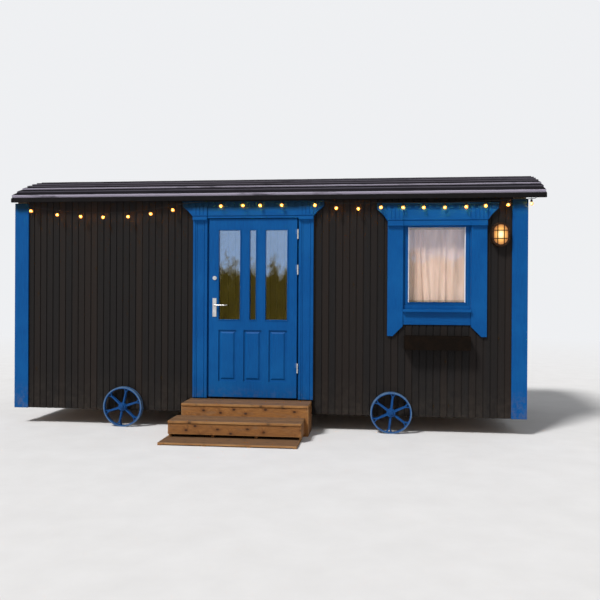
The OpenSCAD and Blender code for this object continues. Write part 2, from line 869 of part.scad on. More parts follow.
// Opening for the glass, grown by a margin all round
module glass_space(y, depth, margin) {
    translate([sash_x + sash_w - margin, y, glass_z - margin])
        cube([glass_w + 2 * margin, depth, glass_h + 2 * margin]);
}

// Sash and its frame, set in the wall and open in the middle, with a bead round the glass
module window_frame() {
    color(blue_paint) {
        difference() {
            translate([sash_x, front_y, window_z]) cube([window_w, sash_t, header_z - window_z]);
            sash_space(0, sash_in);
            difference() {
                sash_space(0, sash_in + groove_depth);
                sash_space(sash_gap, sash_in + groove_depth + 1);
            }
            glass_space(front_y - 1, sash_t + 2, 0);
        }
        difference() {
            glass_space(front_y + sash_in - bead_out, bead_out + 1, bead_w);
            glass_space(front_y - 1, sash_t + 2, 0);
        }
    }
}

module window_glass() {
    color([0.75, 0.78, 0.85, 0.5]) glass_space(front_y + (sash_t - glass_t) / 2, glass_t, 0);
}

// Casing boards with the inner corner of the foot cut away
module window_casings() {
    w = window_casing_w;
    color(blue_paint) for (s = [0, 1])
        translate([s == 0 ? sash_x : sash_x + window_w, 0, 0]) mirror([s, 0, 0])
            along_y(front_y - casing_t, casing_t) polygon([
                [-w, window_casing_z], [-casing_cut, window_casing_z],
                [0, window_casing_z + casing_cut], [0, window_top_z], [-w, window_top_z]
            ]);
}

module window_head() {
    color(blue_paint)
        head_board(
            sash_x - window_casing_w, sash_x + window_w + window_casing_w, window_top_z, window_head_z,
            window_casing_w, window_band_h, window_console_drop
        );
}

// Sill board under the sash and the apron below it
module window_sill() {
    color(blue_paint) {
        translate([sash_x + fit, front_y - sill_out, window_z - sill_t])
            cube([window_w - 2 * fit, sill_out, sill_t]);
        translate([sash_x + fit, front_y - apron_t, window_z - sill_t - apron_h])
            cube([window_w - 2 * fit, apron_t, apron_h + 1]);
    }
}

// Open wooden trough on the wall
module window_box() {
    box_l = window_w - 2 * box_in;
    color([0.16, 0.12, 0.1]) translate([sash_x + box_in, front_y - box_d, box_z - box_h]) difference() {
        cube([box_l, box_d, box_h]);
        translate([box_t, box_t, box_t]) cube([box_l - 2 * box_t, box_d - 2 * box_t, box_h]);
    }
}

// Sheer curtain on the wall behind the sash, as one folded sheet
module window_curtain() {
    l = window_w + 2 * curtain_over;
    folds = 14;
    step = l / folds;
    sheet_t = 6;
    foot_z = glass_z + curtain_lift;
    color([0.9, 0.84, 0.78])
        translate([sash_x - curtain_over, front_y + wall_t + fit, foot_z])
            linear_extrude(glass_z + glass_h + curtain_over - foot_z) polygon([
                for (i = [0:folds]) [i * step, i % 2 == 0 ? 0 : curtain_t - sheet_t],
                for (i = [folds:-1:0]) [i * step, i % 2 == 0 ? sheet_t : curtain_t]
            ]);
}

// Oval outline of the wall lamp, grown by a margin
module lamp_oval(grow) {
    w = lamp_w + 2 * grow;
    h = lamp_h + 2 * grow;
    for (s = [-1, 1]) translate([0, s * (h - w) / 2]) circle(d = w);
    translate([-w / 2, -(h - w) / 2]) square([w, h - w]);
}

// Flange, back plate, ring and guard bars of the wall lamp
module lamp_body() {
    color([0.15, 0.11, 0.08]) translate([lamp_mid_x, front_y, lamp_z]) rotate([90, 0, 0]) {
        linear_extrude(lamp_flange_t) lamp_oval(lamp_flange_out);
        linear_extrude(lamp_back_t) lamp_oval(-lamp_bar / 2);
        translate([0, 0, lamp_back_t]) linear_extrude(lamp_out - lamp_back_t) difference() {
            lamp_oval(0);
            lamp_oval(-lamp_ring_w);
        }
        translate([0, 0, lamp_out - lamp_bar / 2]) linear_extrude(lamp_bar) intersection() {
            lamp_oval(-lamp_bar / 2);
            union() {
                for (x = [-1, 1])
                    translate([x * lamp_bars_x / 2 - lamp_bar / 2, -lamp_h]) square([lamp_bar, 2 * lamp_h]);
                for (y = [-1, 1])
                    translate([-lamp_w, y * lamp_bars_z / 2 - lamp_bar / 2]) square([2 * lamp_w, lamp_bar]);
            }
        }
    }
}

// Lit glass inside the ring, just behind the guard bars
module lamp_glass() {
    glass_out = lamp_out - lamp_bar / 2 - fit - lamp_back_t;
    color([1, 0.85, 0.6]) translate([lamp_mid_x, front_y, lamp_z]) rotate([90, 0, 0])
        translate([0, 0, lamp_back_t]) linear_extrude(glass_out) lamp_oval(-lamp_ring_w - fit);
}

// Turns a route of [x, z] points into a smooth line, a few steps to a span
function between(p, i, t) =
    let (a = p[max(i - 1, 0)], b = p[i], c = p[i + 1], d = p[min(i + 2, len(p) - 1)])
    0.5 * (2 * b + (c - a) * t + (2 * a - 5 * b + 4 * c - d) * t * t + (3 * b - a - 3 * c + d) * t * t * t);

// Ring of corner points round one place on the cable, square to its direction
function cable_ring(p, dir) = [
    for (k = [0:cable_sides - 1])
        let (a = k * 360 / cable_sides, side = cable_d / 2 * cos(a), up = cable_d / 2 * sin(a))
        [p[0] - dir[1] * up, cable_y + side, p[1] + dir[0] * up]
];

module light_cable() {
    last = len(cable_route) - 2;
    line = [
        for (i = [0:last], k = [0:cable_steps - 1]) between(cable_route, i, k / cable_steps),
        cable_route[last + 1]
    ];
    n = len(line);
    rings = [
        for (i = [0:n - 1])
            let (d = line[min(i + 1, n - 1)] - line[max(i - 1, 0)])
            each cable_ring(line[i], d / norm(d))
    ];
    sides = [
        for (i = [0:n - 2], k = [0:cable_sides - 1])
            let (a = i * cable_sides, b = (k + 1) % cable_sides)
            [a + k, a + b, a + cable_sides + b, a + cable_sides + k]
    ];
    ends = [
        [for (k = [cable_sides - 1:-1:0]) k],
        [for (k = [0:cable_sides - 1]) (n - 1) * cable_sides + k]
    ];
    color([0.08, 0.08, 0.08]) polyhedron(rings, [for (f = concat(sides, ends)) backwards(f)]);
}

// Bulbs under the cable, each in a holder that hangs by a thin neck
module light_bulbs() {
    drop = cable_d / 2 + hang_gap + holder_l;
    color([1, 0.8, 0.45]) for (p = bulb_points)
        translate([p[0], cable_y, p[1] - drop]) {
            cylinder(d = holder_d, h = holder_l - neck_l);
            cylinder(d = neck_d, h = holder_l);
            translate([0, 0, -bulb_d * 0.38]) sphere(d = bulb_d);
        }
}

// Box step: two boards on top, a riser in front and four boards on edge under them
module box_step(x, y, w, d, z_top, riser_z, foot_z) {
    board_d = (d + nosing - board_gap) / 2;
    under = z_top - tread_t;
    translate([x, y, 0]) {
        for (i = [0, 1])
            translate([0, i * (board_d + board_gap) - nosing, under]) cube([w, board_d, tread_t]);
        translate([0, 0, riser_z]) cube([w, tread_t, under - riser_z]);
        for (i = [0:3])
            translate([i * (w - tread_t) / 3, tread_t, foot_z])
                cube([tread_t, d - tread_t, under - foot_z]);
    }
}

module landing_step() {
    color(step_wood)
        box_step(step_mid_x - step_w / 2, step_y - landing_d, step_w, landing_d, landing_z, 0, 0);
}

module lower_step() {
    color(step_wood)
        box_step(
            step_mid_x - lower_shift - lower_w / 2, step_y - landing_d - lower_d, lower_w, lower_d,
            lower_z, tread_t + toe_gap, tread_t
        );
}

// Ground board: two planks on four battens, with the lower step standing on it
module ground_step() {
    plank_d = (ground_d + lower_d - board_gap) / 2;
    color(step_wood) translate([step_mid_x - ground_shift - ground_w / 2, step_y - front_reach, 0]) {
        for (i = [0, 1])
            translate([0, i * (plank_d + board_gap), batten_t]) cube([ground_w, plank_d, tread_t - batten_t]);
        for (i = [0:3])
            translate([i * (ground_w - batten_w) / 3, 0, 0]) cube([batten_w, ground_d + lower_d, batten_t]);
    }
}

wheel_r = wheel_d / 2;
rim_in = wheel_r - rim_t;
fork_r = rim_in - fork_l;
// Rise and radius of the curve from a spoke's side out to the edge of its fork
fork_rise = (fork_w - spoke_w) / 2;
fork_bend = (fork_rise * fork_rise + fork_l * fork_l) / (2 * fork_rise);

// Flare between two curves from the end of a spoke out to the rim, narrowed on both sides
module flare(narrow) {
    difference() {
        translate([fork_r, -spoke_w / 2 - fork_bend]) square([fork_l + 1, spoke_w + 2 * fork_bend]);
        for (side = [-1, 1])
            translate([fork_r, side * (spoke_w / 2 + fork_bend)]) circle(r = fork_bend + narrow, $fn = 96);
    }
}

// Spoke along +X that tapers and forks before the rim, as a flat outline widened on all sides
module spoke_outline(wider) {
    root = spoke_w * 0.75 + wider;
    tip = spoke_w / 2 + wider;
    polygon([[hub_d / 2 - 3, -root], [fork_r + 1, -tip], [fork_r + 1, tip], [hub_d / 2 - 3, root]]);
    difference() {
        flare(-wider);
        flare(fork_arm_w - wider);
    }
}

// Cast wheel on the Y axis, its inner face at Y = 0 and its outer face towards -Y
module wheel(turn) {
    color(blue_paint) rotate([90, turn, 0]) difference() {
        union() {
            rotate_extrude($fn = wheel_sides) {
                translate([rim_in, 0]) square([rim_t, rim_w]);
                translate([rim_in - rim_lip, rim_w - rim_lip]) square([rim_lip + 1, rim_lip]);
                translate([journal_d / 2, 0]) square([(hub_d - journal_d) / 2, hub_l]);
                translate([journal_d / 2, rim_w - rim_lip - spoke_t - 4])
                    square([(hub_d - journal_d) / 2 + hub_collar, spoke_t + 6]);
            }
            for (i = [0:spoke_n - 1])
                rotate([0, 0, i * 360 / spoke_n]) translate([0, 0, rim_w - rim_lip - spoke_t]) {
                    linear_extrude(spoke_t) spoke_outline(0);
                    linear_extrude(spoke_t / 4) spoke_outline(spoke_flange);
                }
        }
        translate([0, 0, -1]) cylinder(d = journal_d + 2 * running, h = hub_l + 2);
    }
}

module wheel_front_left() {
    translate([axle_left_x, front_y - wheel_gap, axle_z]) wheel(-78);
}

module wheel_front_right() {
    translate([axle_right_x, front_y - wheel_gap, axle_z]) wheel(-84);
}

module wheel_back_left() {
    translate([axle_left_x, back_y + wheel_gap, axle_z]) mirror([0, 1, 0]) wheel(-50);
}

module wheel_back_right() {
    translate([axle_right_x, back_y + wheel_gap, axle_z]) mirror([0, 1, 0]) wheel(-20);
}

front_wall_left();
front_wall_middle();
front_wall_right();
front_wall_under_window();
front_wall_header();
front_skirt();
back_wall();
left_end_wall();
right_end_wall();
floor_deck();
chassis_rails();
axle_left();
axle_right();
roof_deck();
roof_boards();
corner_boards();
door_jamb_left();
door_jamb_right();
door_frame_head();
door_casings();
door_head();
hinge_pins();
window_frame();
window_glass();
window_casings();
window_head();
window_sill();
window_box();
window_curtain();
lamp_body();
lamp_glass();
light_cable();
light_bulbs();
ground_step();
lower_step();
landing_step();
door_leaf();
door_glass();
hinge_knuckles();
handle_plates();
door_lever();
wheel_front_left();
wheel_front_right();
wheel_back_left();
wheel_back_right();
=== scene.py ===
import math
import random

import bmesh
import bpy
from mathutils import Matrix, Vector, noise


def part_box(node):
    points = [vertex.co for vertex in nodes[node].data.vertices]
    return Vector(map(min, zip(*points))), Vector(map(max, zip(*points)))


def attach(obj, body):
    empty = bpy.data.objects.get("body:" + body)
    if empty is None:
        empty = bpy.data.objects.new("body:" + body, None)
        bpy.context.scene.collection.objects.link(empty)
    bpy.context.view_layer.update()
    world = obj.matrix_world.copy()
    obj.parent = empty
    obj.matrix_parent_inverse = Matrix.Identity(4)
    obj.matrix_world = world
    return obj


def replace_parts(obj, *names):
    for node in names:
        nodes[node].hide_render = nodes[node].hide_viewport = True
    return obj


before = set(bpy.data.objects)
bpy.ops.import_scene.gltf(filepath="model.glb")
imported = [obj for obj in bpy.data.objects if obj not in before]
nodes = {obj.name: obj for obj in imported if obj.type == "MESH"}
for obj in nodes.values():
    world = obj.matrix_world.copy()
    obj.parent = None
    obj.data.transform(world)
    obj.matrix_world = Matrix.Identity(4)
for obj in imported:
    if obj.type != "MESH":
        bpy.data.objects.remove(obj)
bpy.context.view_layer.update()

# Looks of the shepherd's hut, in metres and in the frame's own axes: +Z up, the door side faces -Y.
scene = bpy.context.scene

# Places that the frame gives
(left_x, front_y, skirt_z), (right_x, _, floor_z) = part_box("front_skirt")
back_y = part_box("back_wall")[1][1]
mid_y = (front_y + back_y) / 2
(roof_left, deck_front, _), (roof_right, deck_back, crown_z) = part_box("roof_deck")
cable_low, cable_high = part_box("light_cable")
cable_y = (cable_low[1] + cable_high[1]) / 2

# Arc of the roof deck's upper face and of its underside
ROOF_RISE = 0.325
DECK_T = 0.040
deck_half = (deck_back - deck_front) / 2
roof_r = (deck_half ** 2 + ROOF_RISE ** 2) / (2 * ROOF_RISE)
arc_z = crown_z - roof_r
eave_angle = math.asin(deck_half / roof_r)


def on_arc(radius, angle, x):
    """Point of an arc round the roof's axis, at an angle from its top towards the back."""
    return Vector((x, mid_y + radius * math.sin(angle), arc_z + radius * math.cos(angle)))


def under_deck(y):
    """Height of the deck's underside."""
    return arc_z + math.sqrt((roof_r - DECK_T) ** 2 - (y - mid_y) ** 2)


def added(name, data):
    """New object of the scene."""
    made = bpy.data.objects.new(name, data)
    scene.collection.objects.link(made)
    return made


# Camera at the photograph's viewing angle
CAMERA_PLACE = (1.170, front_y - 7.542, 1.472)
CAMERA_TURN = math.radians(6.163)
CAMERA_PITCH = math.radians(-0.17)
CAMERA_ROLL = math.radians(0.32)
CAMERA_LENS = 40.8
SENSOR_WIDTH = 36
camera = added("camera", bpy.data.cameras.new("camera"))
camera.data.sensor_width = SENSOR_WIDTH
camera.data.lens = CAMERA_LENS
camera.matrix_world = (
    Matrix.Translation(CAMERA_PLACE)
    @ Matrix.Rotation(CAMERA_TURN, 4, "Z")
    @ Matrix.Rotation(math.pi / 2 + CAMERA_PITCH, 4, "X")
    @ Matrix.Rotation(CAMERA_ROLL, 4, "Z")
)
scene.camera = camera


class Shader:
    """Node material put together by short calls, most of which give a socket."""

    def __init__(self, name):
        self.material = bpy.data.materials.new(name)
        self.material.use_nodes = True
        self.tree = self.material.node_tree
        self.surface = self.tree.nodes["Principled BSDF"]

    def wire(self, value, socket):
        if isinstance(value, bpy.types.NodeSocket):
            self.tree.links.new(value, socket)
        elif socket.type == "RGBA" and hasattr(value, "__len__"):
            socket.default_value = (*value, 1)
        else:
            socket.default_value = value

    def node(self, kind, inputs, out=0, **settings):
        made = self.tree.nodes.new("ShaderNode" + kind)
        for key, value in settings.items():
            setattr(made, key, value)
        for key, value in inputs.items():
            self.wire(value, made.inputs[key])
        return made.outputs[out]

    def set(self, **values):
        for key, value in values.items():
            self.wire(value, self.surface.inputs[key.replace("_", " ")])

    def attribute(self, name, out="Fac"):
        return self.node("Attribute", {}, out, attribute_name=name)

    def place(self):
        return self.node("TexCoord", {}, "Object")

    def stretch(self, vector, scale):
        return self.node("Mapping", {"Vector": vector, "Scale": scale})

    def noise(self, vector, scale, detail, rough=0.55):
        inputs = {"Vector": vector, "Scale": scale, "Detail": detail, "Roughness": rough}
        return self.node("TexNoise", inputs)

    def math(self, kind, a, b=0.0):
        return self.node("Math", {0: a, 1: b}, operation=kind)

    def times(self, a, b):
        return self.math("MULTIPLY", a, b)

    def vector(self, kind, a, b):
        return self.node("VectorMath", {0: a, 1: b}, operation=kind)

    def length(self, vector):
        return self.node("VectorMath", {0: vector}, "Value", operation="LENGTH")

    def axis(self, vector, name):
        return self.node("SeparateXYZ", {0: vector}, name)

    def level(self, value, low, high, to_low=0.0, to_high=1.0):
        """Carries the range from low to high over to another one, and holds it there."""
        inputs = {"Value": value, "From Min": low, "From Max": high, "To Min": to_low, "To Max": to_high}
        return self.node("MapRange", inputs, clamp=True)

    def spread(self, cloud, low=0.0, high=1.0):
        """Carries noise, most of which lies between 0.3 and 0.7, over to the range from low to high."""
        return self.level(cloud, 0.3, 0.7, low, high)

    def mix(self, factor, a, b):
        return self.node("Mix", {0: factor, 6: a, 7: b}, 2, data_type="RGBA")

    def bump(self, height, distance, strength):
        return self.node("Bump", {"Height": height, "Distance": distance, "Strength": strength})


# Colours are linear
STAIN = (0.0088, 0.0077, 0.0076)
STAIN_BROWN = (0.0170, 0.0115, 0.0090)
STAIN_GREY = (0.0230, 0.0205, 0.0210)
BLUE = (0.0012, 0.084, 0.290)
BLUE_DEEP = (0.0008, 0.060, 0.225)
BLUE_PALE = (0.0040, 0.105, 0.325)
EAVE_SHADE_BLUE = (0.0015, 0.019, 0.036)
IRON_BLUE = (0.006, 0.055, 0.190)
IRON_WORN_HIGHLIGHT = (0.085, 0.155, 0.270)
ROOF_GREY = (0.0110, 0.0110, 0.0150)
ROOF_WORN_HIGHLIGHT = (0.440, 0.405, 0.510)
DECK_PAINT = (0.007, 0.0065, 0.007)
DECK_WORN = (0.020, 0.0175, 0.018)
BOX_STAIN = (0.0040, 0.0022, 0.0012)
BOX_WORN = (0.014, 0.008, 0.005)
STEP_WOOD = (0.325, 0.138, 0.036)
STEP_WOOD_DARK = (0.130, 0.047, 0.015)
STEP_WOOD_PALE = (0.420, 0.225, 0.085)
TREAD_GREY = (0.100, 0.066, 0.042)
KNOT = (0.040, 0.014, 0.006)
FLOOR_WOOD = (0.430, 0.260, 0.120)
FLOOR_WOOD_DARK = (0.270, 0.140, 0.055)
RAIL_WOOD = (0.620, 0.430, 0.250)
LINING_WOOD = (0.25, 0.155, 0.070)
LINING_PALE = (0.32, 0.205, 0.100)
LINING_JOINT = (0.07, 0.04, 0.02)
STRIP_WHITE = (0.780, 0.780, 0.840)
STRIP_WORN = (0.60, 0.59, 0.62)
STEEL = (0.52, 0.51, 0.50)
STEEL_PALE = (0.70, 0.69, 0.67)
BARREL_STEEL = (0.46, 0.45, 0.44)
BARREL_PALE = (0.66, 0.65, 0.63)
CHASSIS_BLACK = (0.010, 0.010, 0.011)
RUST = (0.060, 0.024, 0.011)
BRONZE = (0.022, 0.012, 0.008)
BRONZE_WORN = (0.090, 0.045, 0.020)
PANE_REFLECTION_LOW = (0.44, 0.34, 0.05)
PANE_REFLECTION_HIGH = (0.48, 0.68, 1.0)
VOILE = (0.60, 0.42, 0.34)
VOILE_PALE = (0.76, 0.56, 0.47)
VOILE_HEM = (0.30, 0.21, 0.16)
LENS = (0.16, 0.09, 0.03)
LENS_PALE = (0.20, 0.12, 0.05)
LENS_BRIGHT = (1.0, 0.85, 0.48)
LENS_AMBER = (0.95, 0.46, 0.09)
LENS_DIM = (0.50, 0.14, 0.015)
RUBBER = (0.005, 0.005, 0.0055)
RUBBER_SCUFF = (0.016, 0.015, 0.014)
BULB = (1.0, 0.80, 0.52)
BULB_PALE = (1.0, 0.88, 0.66)
BULB_GLOW = (1.0, 0.38, 0.05)
CORE = (1.0, 0.8, 0.5)
CORE_GLOW = (1.0, 0.33, 0.010)
DUST = (0.160, 0.130, 0.100)

# Height up to which dust lies thickest, and heights at which it ends on the boards and the paint
DUST_LOW = 0.18
BOARD_DUST_HIGH = 0.62
PAINT_DUST_HIGH = 0.50
# Heights between which the painted shade under the eave sets in
EAVE_SHADE_LOW = 2.440
EAVE_SHADE_HIGH = 2.495
# Distances inside a wheel's rim where the wear and painted highlight set in and are full, and past it
# where they end
RIM_WEAR_HIGHLIGHT_IN = 0.014
RIM_WEAR_HIGHLIGHT_FULL = 0.010
RIM_WEAR_HIGHLIGHT_PAST = 0.002
# Length of each axle's end that has the wheels' paint
PAINTED_END = 0.030
# Height of the curtain's hem, and how far it hangs below the curtain's solid
HEM = 0.022
HEM_DROP = 0.030
# Height over which a painted edge or a hem gives way to the next colour
EDGE = 0.002


def stained_boards():
    """Dark stain on upright boards: streaked grain, browner boards, dust near the ground."""
    look = Shader("stained_boards")
    grain = look.attribute("grain", "Vector")
    tone = look.attribute("tone")
    place = look.place()
    streak = look.noise(look.stretch(grain, (1.2, 70, 70)), 3, 6, 0.65)
    patch = look.noise(look.stretch(grain, (0.7, 4, 4)), 1.6, 3)
    color = look.mix(look.level(tone, 0.55, 1.0, 0.0, 0.8), STAIN, STAIN_BROWN)
    color = look.mix(look.level(streak, 0.45, 0.80, 0.0, 0.65), color, STAIN_GREY)
    color = look.mix(look.level(patch, 0.5, 0.8, 0.0, 0.4), color, STAIN_BROWN)
    near_ground = look.level(look.axis(place, "Z"), BOARD_DUST_HIGH, DUST_LOW)
    splash = look.level(look.noise(place, 14, 5, 0.7), 0.38, 0.70)
    color = look.mix(look.times(look.times(near_ground, splash), 0.12), color, DUST)
    look.set(Base_Color=color, Roughness=look.spread(streak, 0.6, 0.85), Specular_IOR_Level=0.14)
    look.set(Normal=look.bump(streak, 0.0010, 0.6))
    return look.material


def blue_paint(name, along):
    """Satin paint with brush marks along one direction, pale worn patches and painted shade under the
    eave.
    """
    look = Shader(name)
    place = look.place()
    height = look.axis(place, "Z")
    brush = look.noise(look.stretch(place, along), 4, 6, 0.6)
    cloud = look.noise(place, 2.3, 4)
    fleck = look.noise(place, 95, 3, 0.8)
    color = look.mix(look.level(brush, 0.35, 0.68), BLUE_DEEP, BLUE)
    color = look.mix(look.level(cloud, 0.45, 0.75, 0.0, 0.6), color, BLUE_PALE)
    color = look.mix(look.level(fleck, 0.70, 0.78, 0.0, 0.35), color, DUST)
    near_ground = look.level(height, PAINT_DUST_HIGH, DUST_LOW)
    splash = look.level(look.noise(place, 22, 5, 0.7), 0.45, 0.7)
    color = look.mix(look.times(look.times(near_ground, splash), 0.5), color, DUST)
    # Painted shade under the eave: the paint darkens towards its top, with a ragged edge
    ragged = look.math("ADD", height, look.spread(cloud, -0.02, 0.02))
    color = look.mix(look.level(ragged, EAVE_SHADE_LOW, EAVE_SHADE_HIGH, 0.0, 0.92), color, EAVE_SHADE_BLUE)
    look.set(Base_Color=color, Roughness=look.spread(cloud, 0.42, 0.56), Specular_IOR_Level=0.11)
    look.set(Normal=look.bump(brush, 0.0006, 0.6))
    return look.material


def iron_paint():
    """Deep blue paint on the cast wheels, worn pale along the rims of the front ones, with a painted
    highlight there.
    """
    look = Shader("iron_paint")
    place = look.place()
    mottle = look.noise(place, 12, 5, 0.65)
    worn = look.level(mottle, 0.35, 0.55, 0.3, 0.9)
    color = look.mix(look.spread(mottle), IRON_BLUE, BLUE_DEEP)
    low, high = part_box("wheel_front_left")
    radius = (high[0] - low[0]) / 2
    # Pale ring on the front wheels' rims: wear together with a painted highlight on the rim's lip
    for wheel in ("wheel_front_left", "wheel_front_right"):
        low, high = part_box(wheel)
        hub = ((low[0] + high[0]) / 2, 0, (low[2] + high[2]) / 2)
        away = look.length(look.vector("MULTIPLY", look.vector("SUBTRACT", place, hub), (1, 0, 1)))
        inner = look.level(away, radius - RIM_WEAR_HIGHLIGHT_IN, radius - RIM_WEAR_HIGHLIGHT_FULL)
        outer = look.level(away, radius + RIM_WEAR_HIGHLIGHT_PAST, radius + 2 * RIM_WEAR_HIGHLIGHT_PAST, 1.0, 0.0)
        color = look.mix(look.times(look.times(inner, outer), worn), color, IRON_WORN_HIGHLIGHT)
    look.set(Base_Color=color, Roughness=look.spread(mottle, 0.35, 0.55), Specular_IOR_Level=0.20)
    look.set(Normal=look.bump(mottle, 0.0010, 0.5))
    return look.material


def roof_paint():
    """Dark weathered paint on the lapped boards, worn pale along the lower edges, which also carry a
    painted lilac highlight.
    """
    look = Shader("roof_paint")
    grain = look.attribute("grain", "Vector")
    wear = look.attribute("wear")
    tone = look.attribute("tone")
    streak = look.noise(look.stretch(grain, (1.5, 45, 45)), 3, 6, 0.7)
    blotch = look.noise(look.stretch(grain, (0.8, 3, 3)), 2.2, 5, 0.6)
    color = look.mix(look.level(streak, 0.4, 0.75, 0.0, 0.8), ROOF_GREY, STAIN_GREY)
    color = look.mix(look.level(tone, 0.3, 1.0, 0.0, 0.35), color, STAIN_BROWN)
    # Lower edges: pale wear together with a painted lilac highlight where the lips face the light
    edge = look.times(wear, look.level(blotch, 0.30, 0.44, 0.15, 1.0))
    scuff = look.level(look.times(streak, blotch), 0.34, 0.44, 0.0, 0.06)
    color = look.mix(look.math("MAXIMUM", edge, scuff), color, ROOF_WORN_HIGHLIGHT)
    look.set(Base_Color=color, Roughness=look.spread(blotch, 0.75, 0.95), Specular_IOR_Level=0.0)
    look.set(Normal=look.bump(streak, 0.0016, 0.8))
    return look.material


def old_paint(name, color, worn, scale=6):
    """Old paint or stain with worn spots of another colour."""
    look = Shader(name)
    place = look.place()
    mottle = look.noise(place, scale, 6, 0.65)
    spots = look.noise(place, scale * 7, 4, 0.7)
    color = look.mix(look.level(mottle, 0.45, 0.75, 0.0, 0.6), color, worn)
    color = look.mix(look.level(spots, 0.60, 0.72, 0.0, 0.6), color, worn)
    look.set(Base_Color=color, Roughness=look.spread(mottle, 0.55, 0.85), Specular_IOR_Level=0.06)
    look.set(Normal=look.bump(spots, 0.0008, 0.5))
    return look.material


def plank_wood(name, wood, dark, pale, roughness=0.55, knotty=1.0, trodden=False):
    """Oiled softwood: growth rings drawn out along the plank, knots, dirt and worn edges."""
    look = Shader(name)
    grain = look.attribute("grain", "Vector")
    tone = look.attribute("tone")
    wear = look.attribute("wear")
    knots = look.node(
        "TexVoronoi",
        {"Vector": look.stretch(grain, (5.6, 8.5, 1)), "Scale": 1.0, "Randomness": 0.9},
        "Distance", voronoi_dimensions="2D",
    )
    pull = look.times(look.level(knots, 0.05, 0.45, 0.9, 0.0), 0.05)
    bent = look.vector("ADD", grain, look.node("CombineXYZ", {"Y": pull}))
    rings = look.noise(look.stretch(bent, (0.9, 26, 26)), 2.4, 4, 0.5)
    lines = look.math("SINE", look.times(rings, 60))
    fibre = look.noise(look.stretch(grain, (4, 240, 240)), 2, 4, 0.7)
    dirt = look.noise(look.stretch(grain, (1, 3, 3)), 5, 5, 0.65)
    color = look.mix(look.level(lines, -0.6, 1.0, 0.0, 0.75), wood, dark)
    color = look.mix(look.level(fibre, 0.45, 0.75, 0.0, 0.5), color, pale)
    color = look.mix(look.level(tone, 0.0, 1.0, 0.0, 0.45), color, dark)
    color = look.mix(look.level(knots, 0.30, 0.11, 0.0, 0.55 * knotty), color, dark)
    color = look.mix(look.level(knots, 0.11, 0.07, 0.0, knotty), color, KNOT)
    color = look.mix(look.level(dirt, 0.55, 0.78, 0.0, 0.5), color, DUST)
    color = look.mix(look.times(wear, look.level(dirt, 0.35, 0.65, 0.1, 0.7)), color, pale)
    if trodden:
        up = look.axis(look.node("NewGeometry", {}, "Normal"), "Z")
        color = look.mix(look.level(up, 0.4, 0.9, 0.0, 0.7), color, TREAD_GREY)
    look.set(Base_Color=color, Roughness=look.spread(fibre, roughness, roughness + 0.2))
    relief = look.math("ADD", fibre, look.times(lines, 0.25))
    look.set(Specular_IOR_Level=0.25, Normal=look.bump(relief, 0.0008, 0.7))
    return look.material


def lining():
    """Pine boards inside the cabin with fine joints 0.1 m apart, and dark skirts below the floor."""
    look = Shader("lining")
    place = look.place()
    joint = look.node("TexWave", {"Vector": place, "Scale": 3.1}, "Fac", bands_direction="X")
    color = look.mix(look.spread(look.noise(place, 5, 5)), LINING_WOOD, LINING_PALE)
    color = look.mix(look.level(joint, 0.04, 0.0), color, LINING_JOINT)
    color = look.mix(look.level(look.axis(place, "Z"), floor_z, floor_z - EDGE), color, STAIN)
    look.set(Base_Color=color, Roughness=0.6, Normal=look.bump(look.level(joint, 0.0, 0.05), 0.002, 0.6))
    return look.material


def satin_steel():
    """Brushed steel with smudges."""
    look = Shader("satin_steel")
    place = look.place()
    brushed = look.noise(look.stretch(place, (40, 40, 700)), 3, 3)
    color = look.mix(look.spread(look.noise(place, 30, 4)), STEEL, STEEL_PALE)
    look.set(Base_Color=color, Metallic=1.0, Roughness=look.spread(brushed, 0.24, 0.42))
    look.set(Normal=look.bump(brushed, 0.0002, 0.4))
    return look.material


def hinge_steel():
    """Bare steel barrels whose wings are painted over with the woodwork."""
    look = Shader("hinge_steel")
    (x0, _, _), (x1, _, _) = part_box("hinge_knuckles")
    barrel_x = (x0 + x1) / 2
    place = look.place()
    paint = look.level(look.axis(place, "X"), barrel_x, barrel_x - EDGE / 2)
    smudge = look.noise(place, 40, 4)
    metal = look.mix(look.spread(smudge), BARREL_STEEL, BARREL_PALE)
    look.set(Base_Color=look.mix(paint, metal, BLUE), Metallic=look.level(paint, 0.0, 1.0, 1.0, 0.0))
    look.set(Roughness=look.spread(smudge, 0.30, 0.45), Normal=look.bump(smudge, 0.0003, 0.4))
    return look.material


def rusty_steel():
    """Dark rusting steel of the chassis, whose axle ends are painted blue with the wheels."""
    look = Shader("rusty_steel")
    place = look.place()
    rust = look.level(look.noise(place, 7, 8, 0.7), 0.48, 0.62)
    pits = look.noise(place, 120, 3)
    axle_end = mid_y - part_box("axle_left")[0][1] - PAINTED_END
    out = look.math("ABSOLUTE", look.math("SUBTRACT", look.axis(place, "Y"), mid_y))
    color = look.mix(rust, CHASSIS_BLACK, RUST)
    color = look.mix(look.level(out, axle_end - EDGE / 2, axle_end), color, IRON_BLUE)
    look.set(Base_Color=color, Metallic=look.level(rust, 0.0, 1.0, 0.3, 0.0), Specular_IOR_Level=0.2)
    look.set(Roughness=look.level(rust, 0.0, 1.0, 0.55, 0.85))
    look.set(Normal=look.bump(look.math("ADD", rust, pits), 0.0006, 0.6))
    return look.material


def bronze():
    """Dark bronze, rubbed bright in spots."""
    look = Shader("bronze")
    worn = look.noise(look.place(), 45, 5, 0.6)
    color = look.mix(look.level(worn, 0.45, 0.75), BRONZE, BRONZE_WORN)
    look.set(Base_Color=color, Metallic=0.7, Roughness=look.spread(worn, 0.40, 0.60))
    look.set(Specular_IOR_Level=0.2, Normal=look.bump(worn, 0.0004, 0.4))
    return look.material


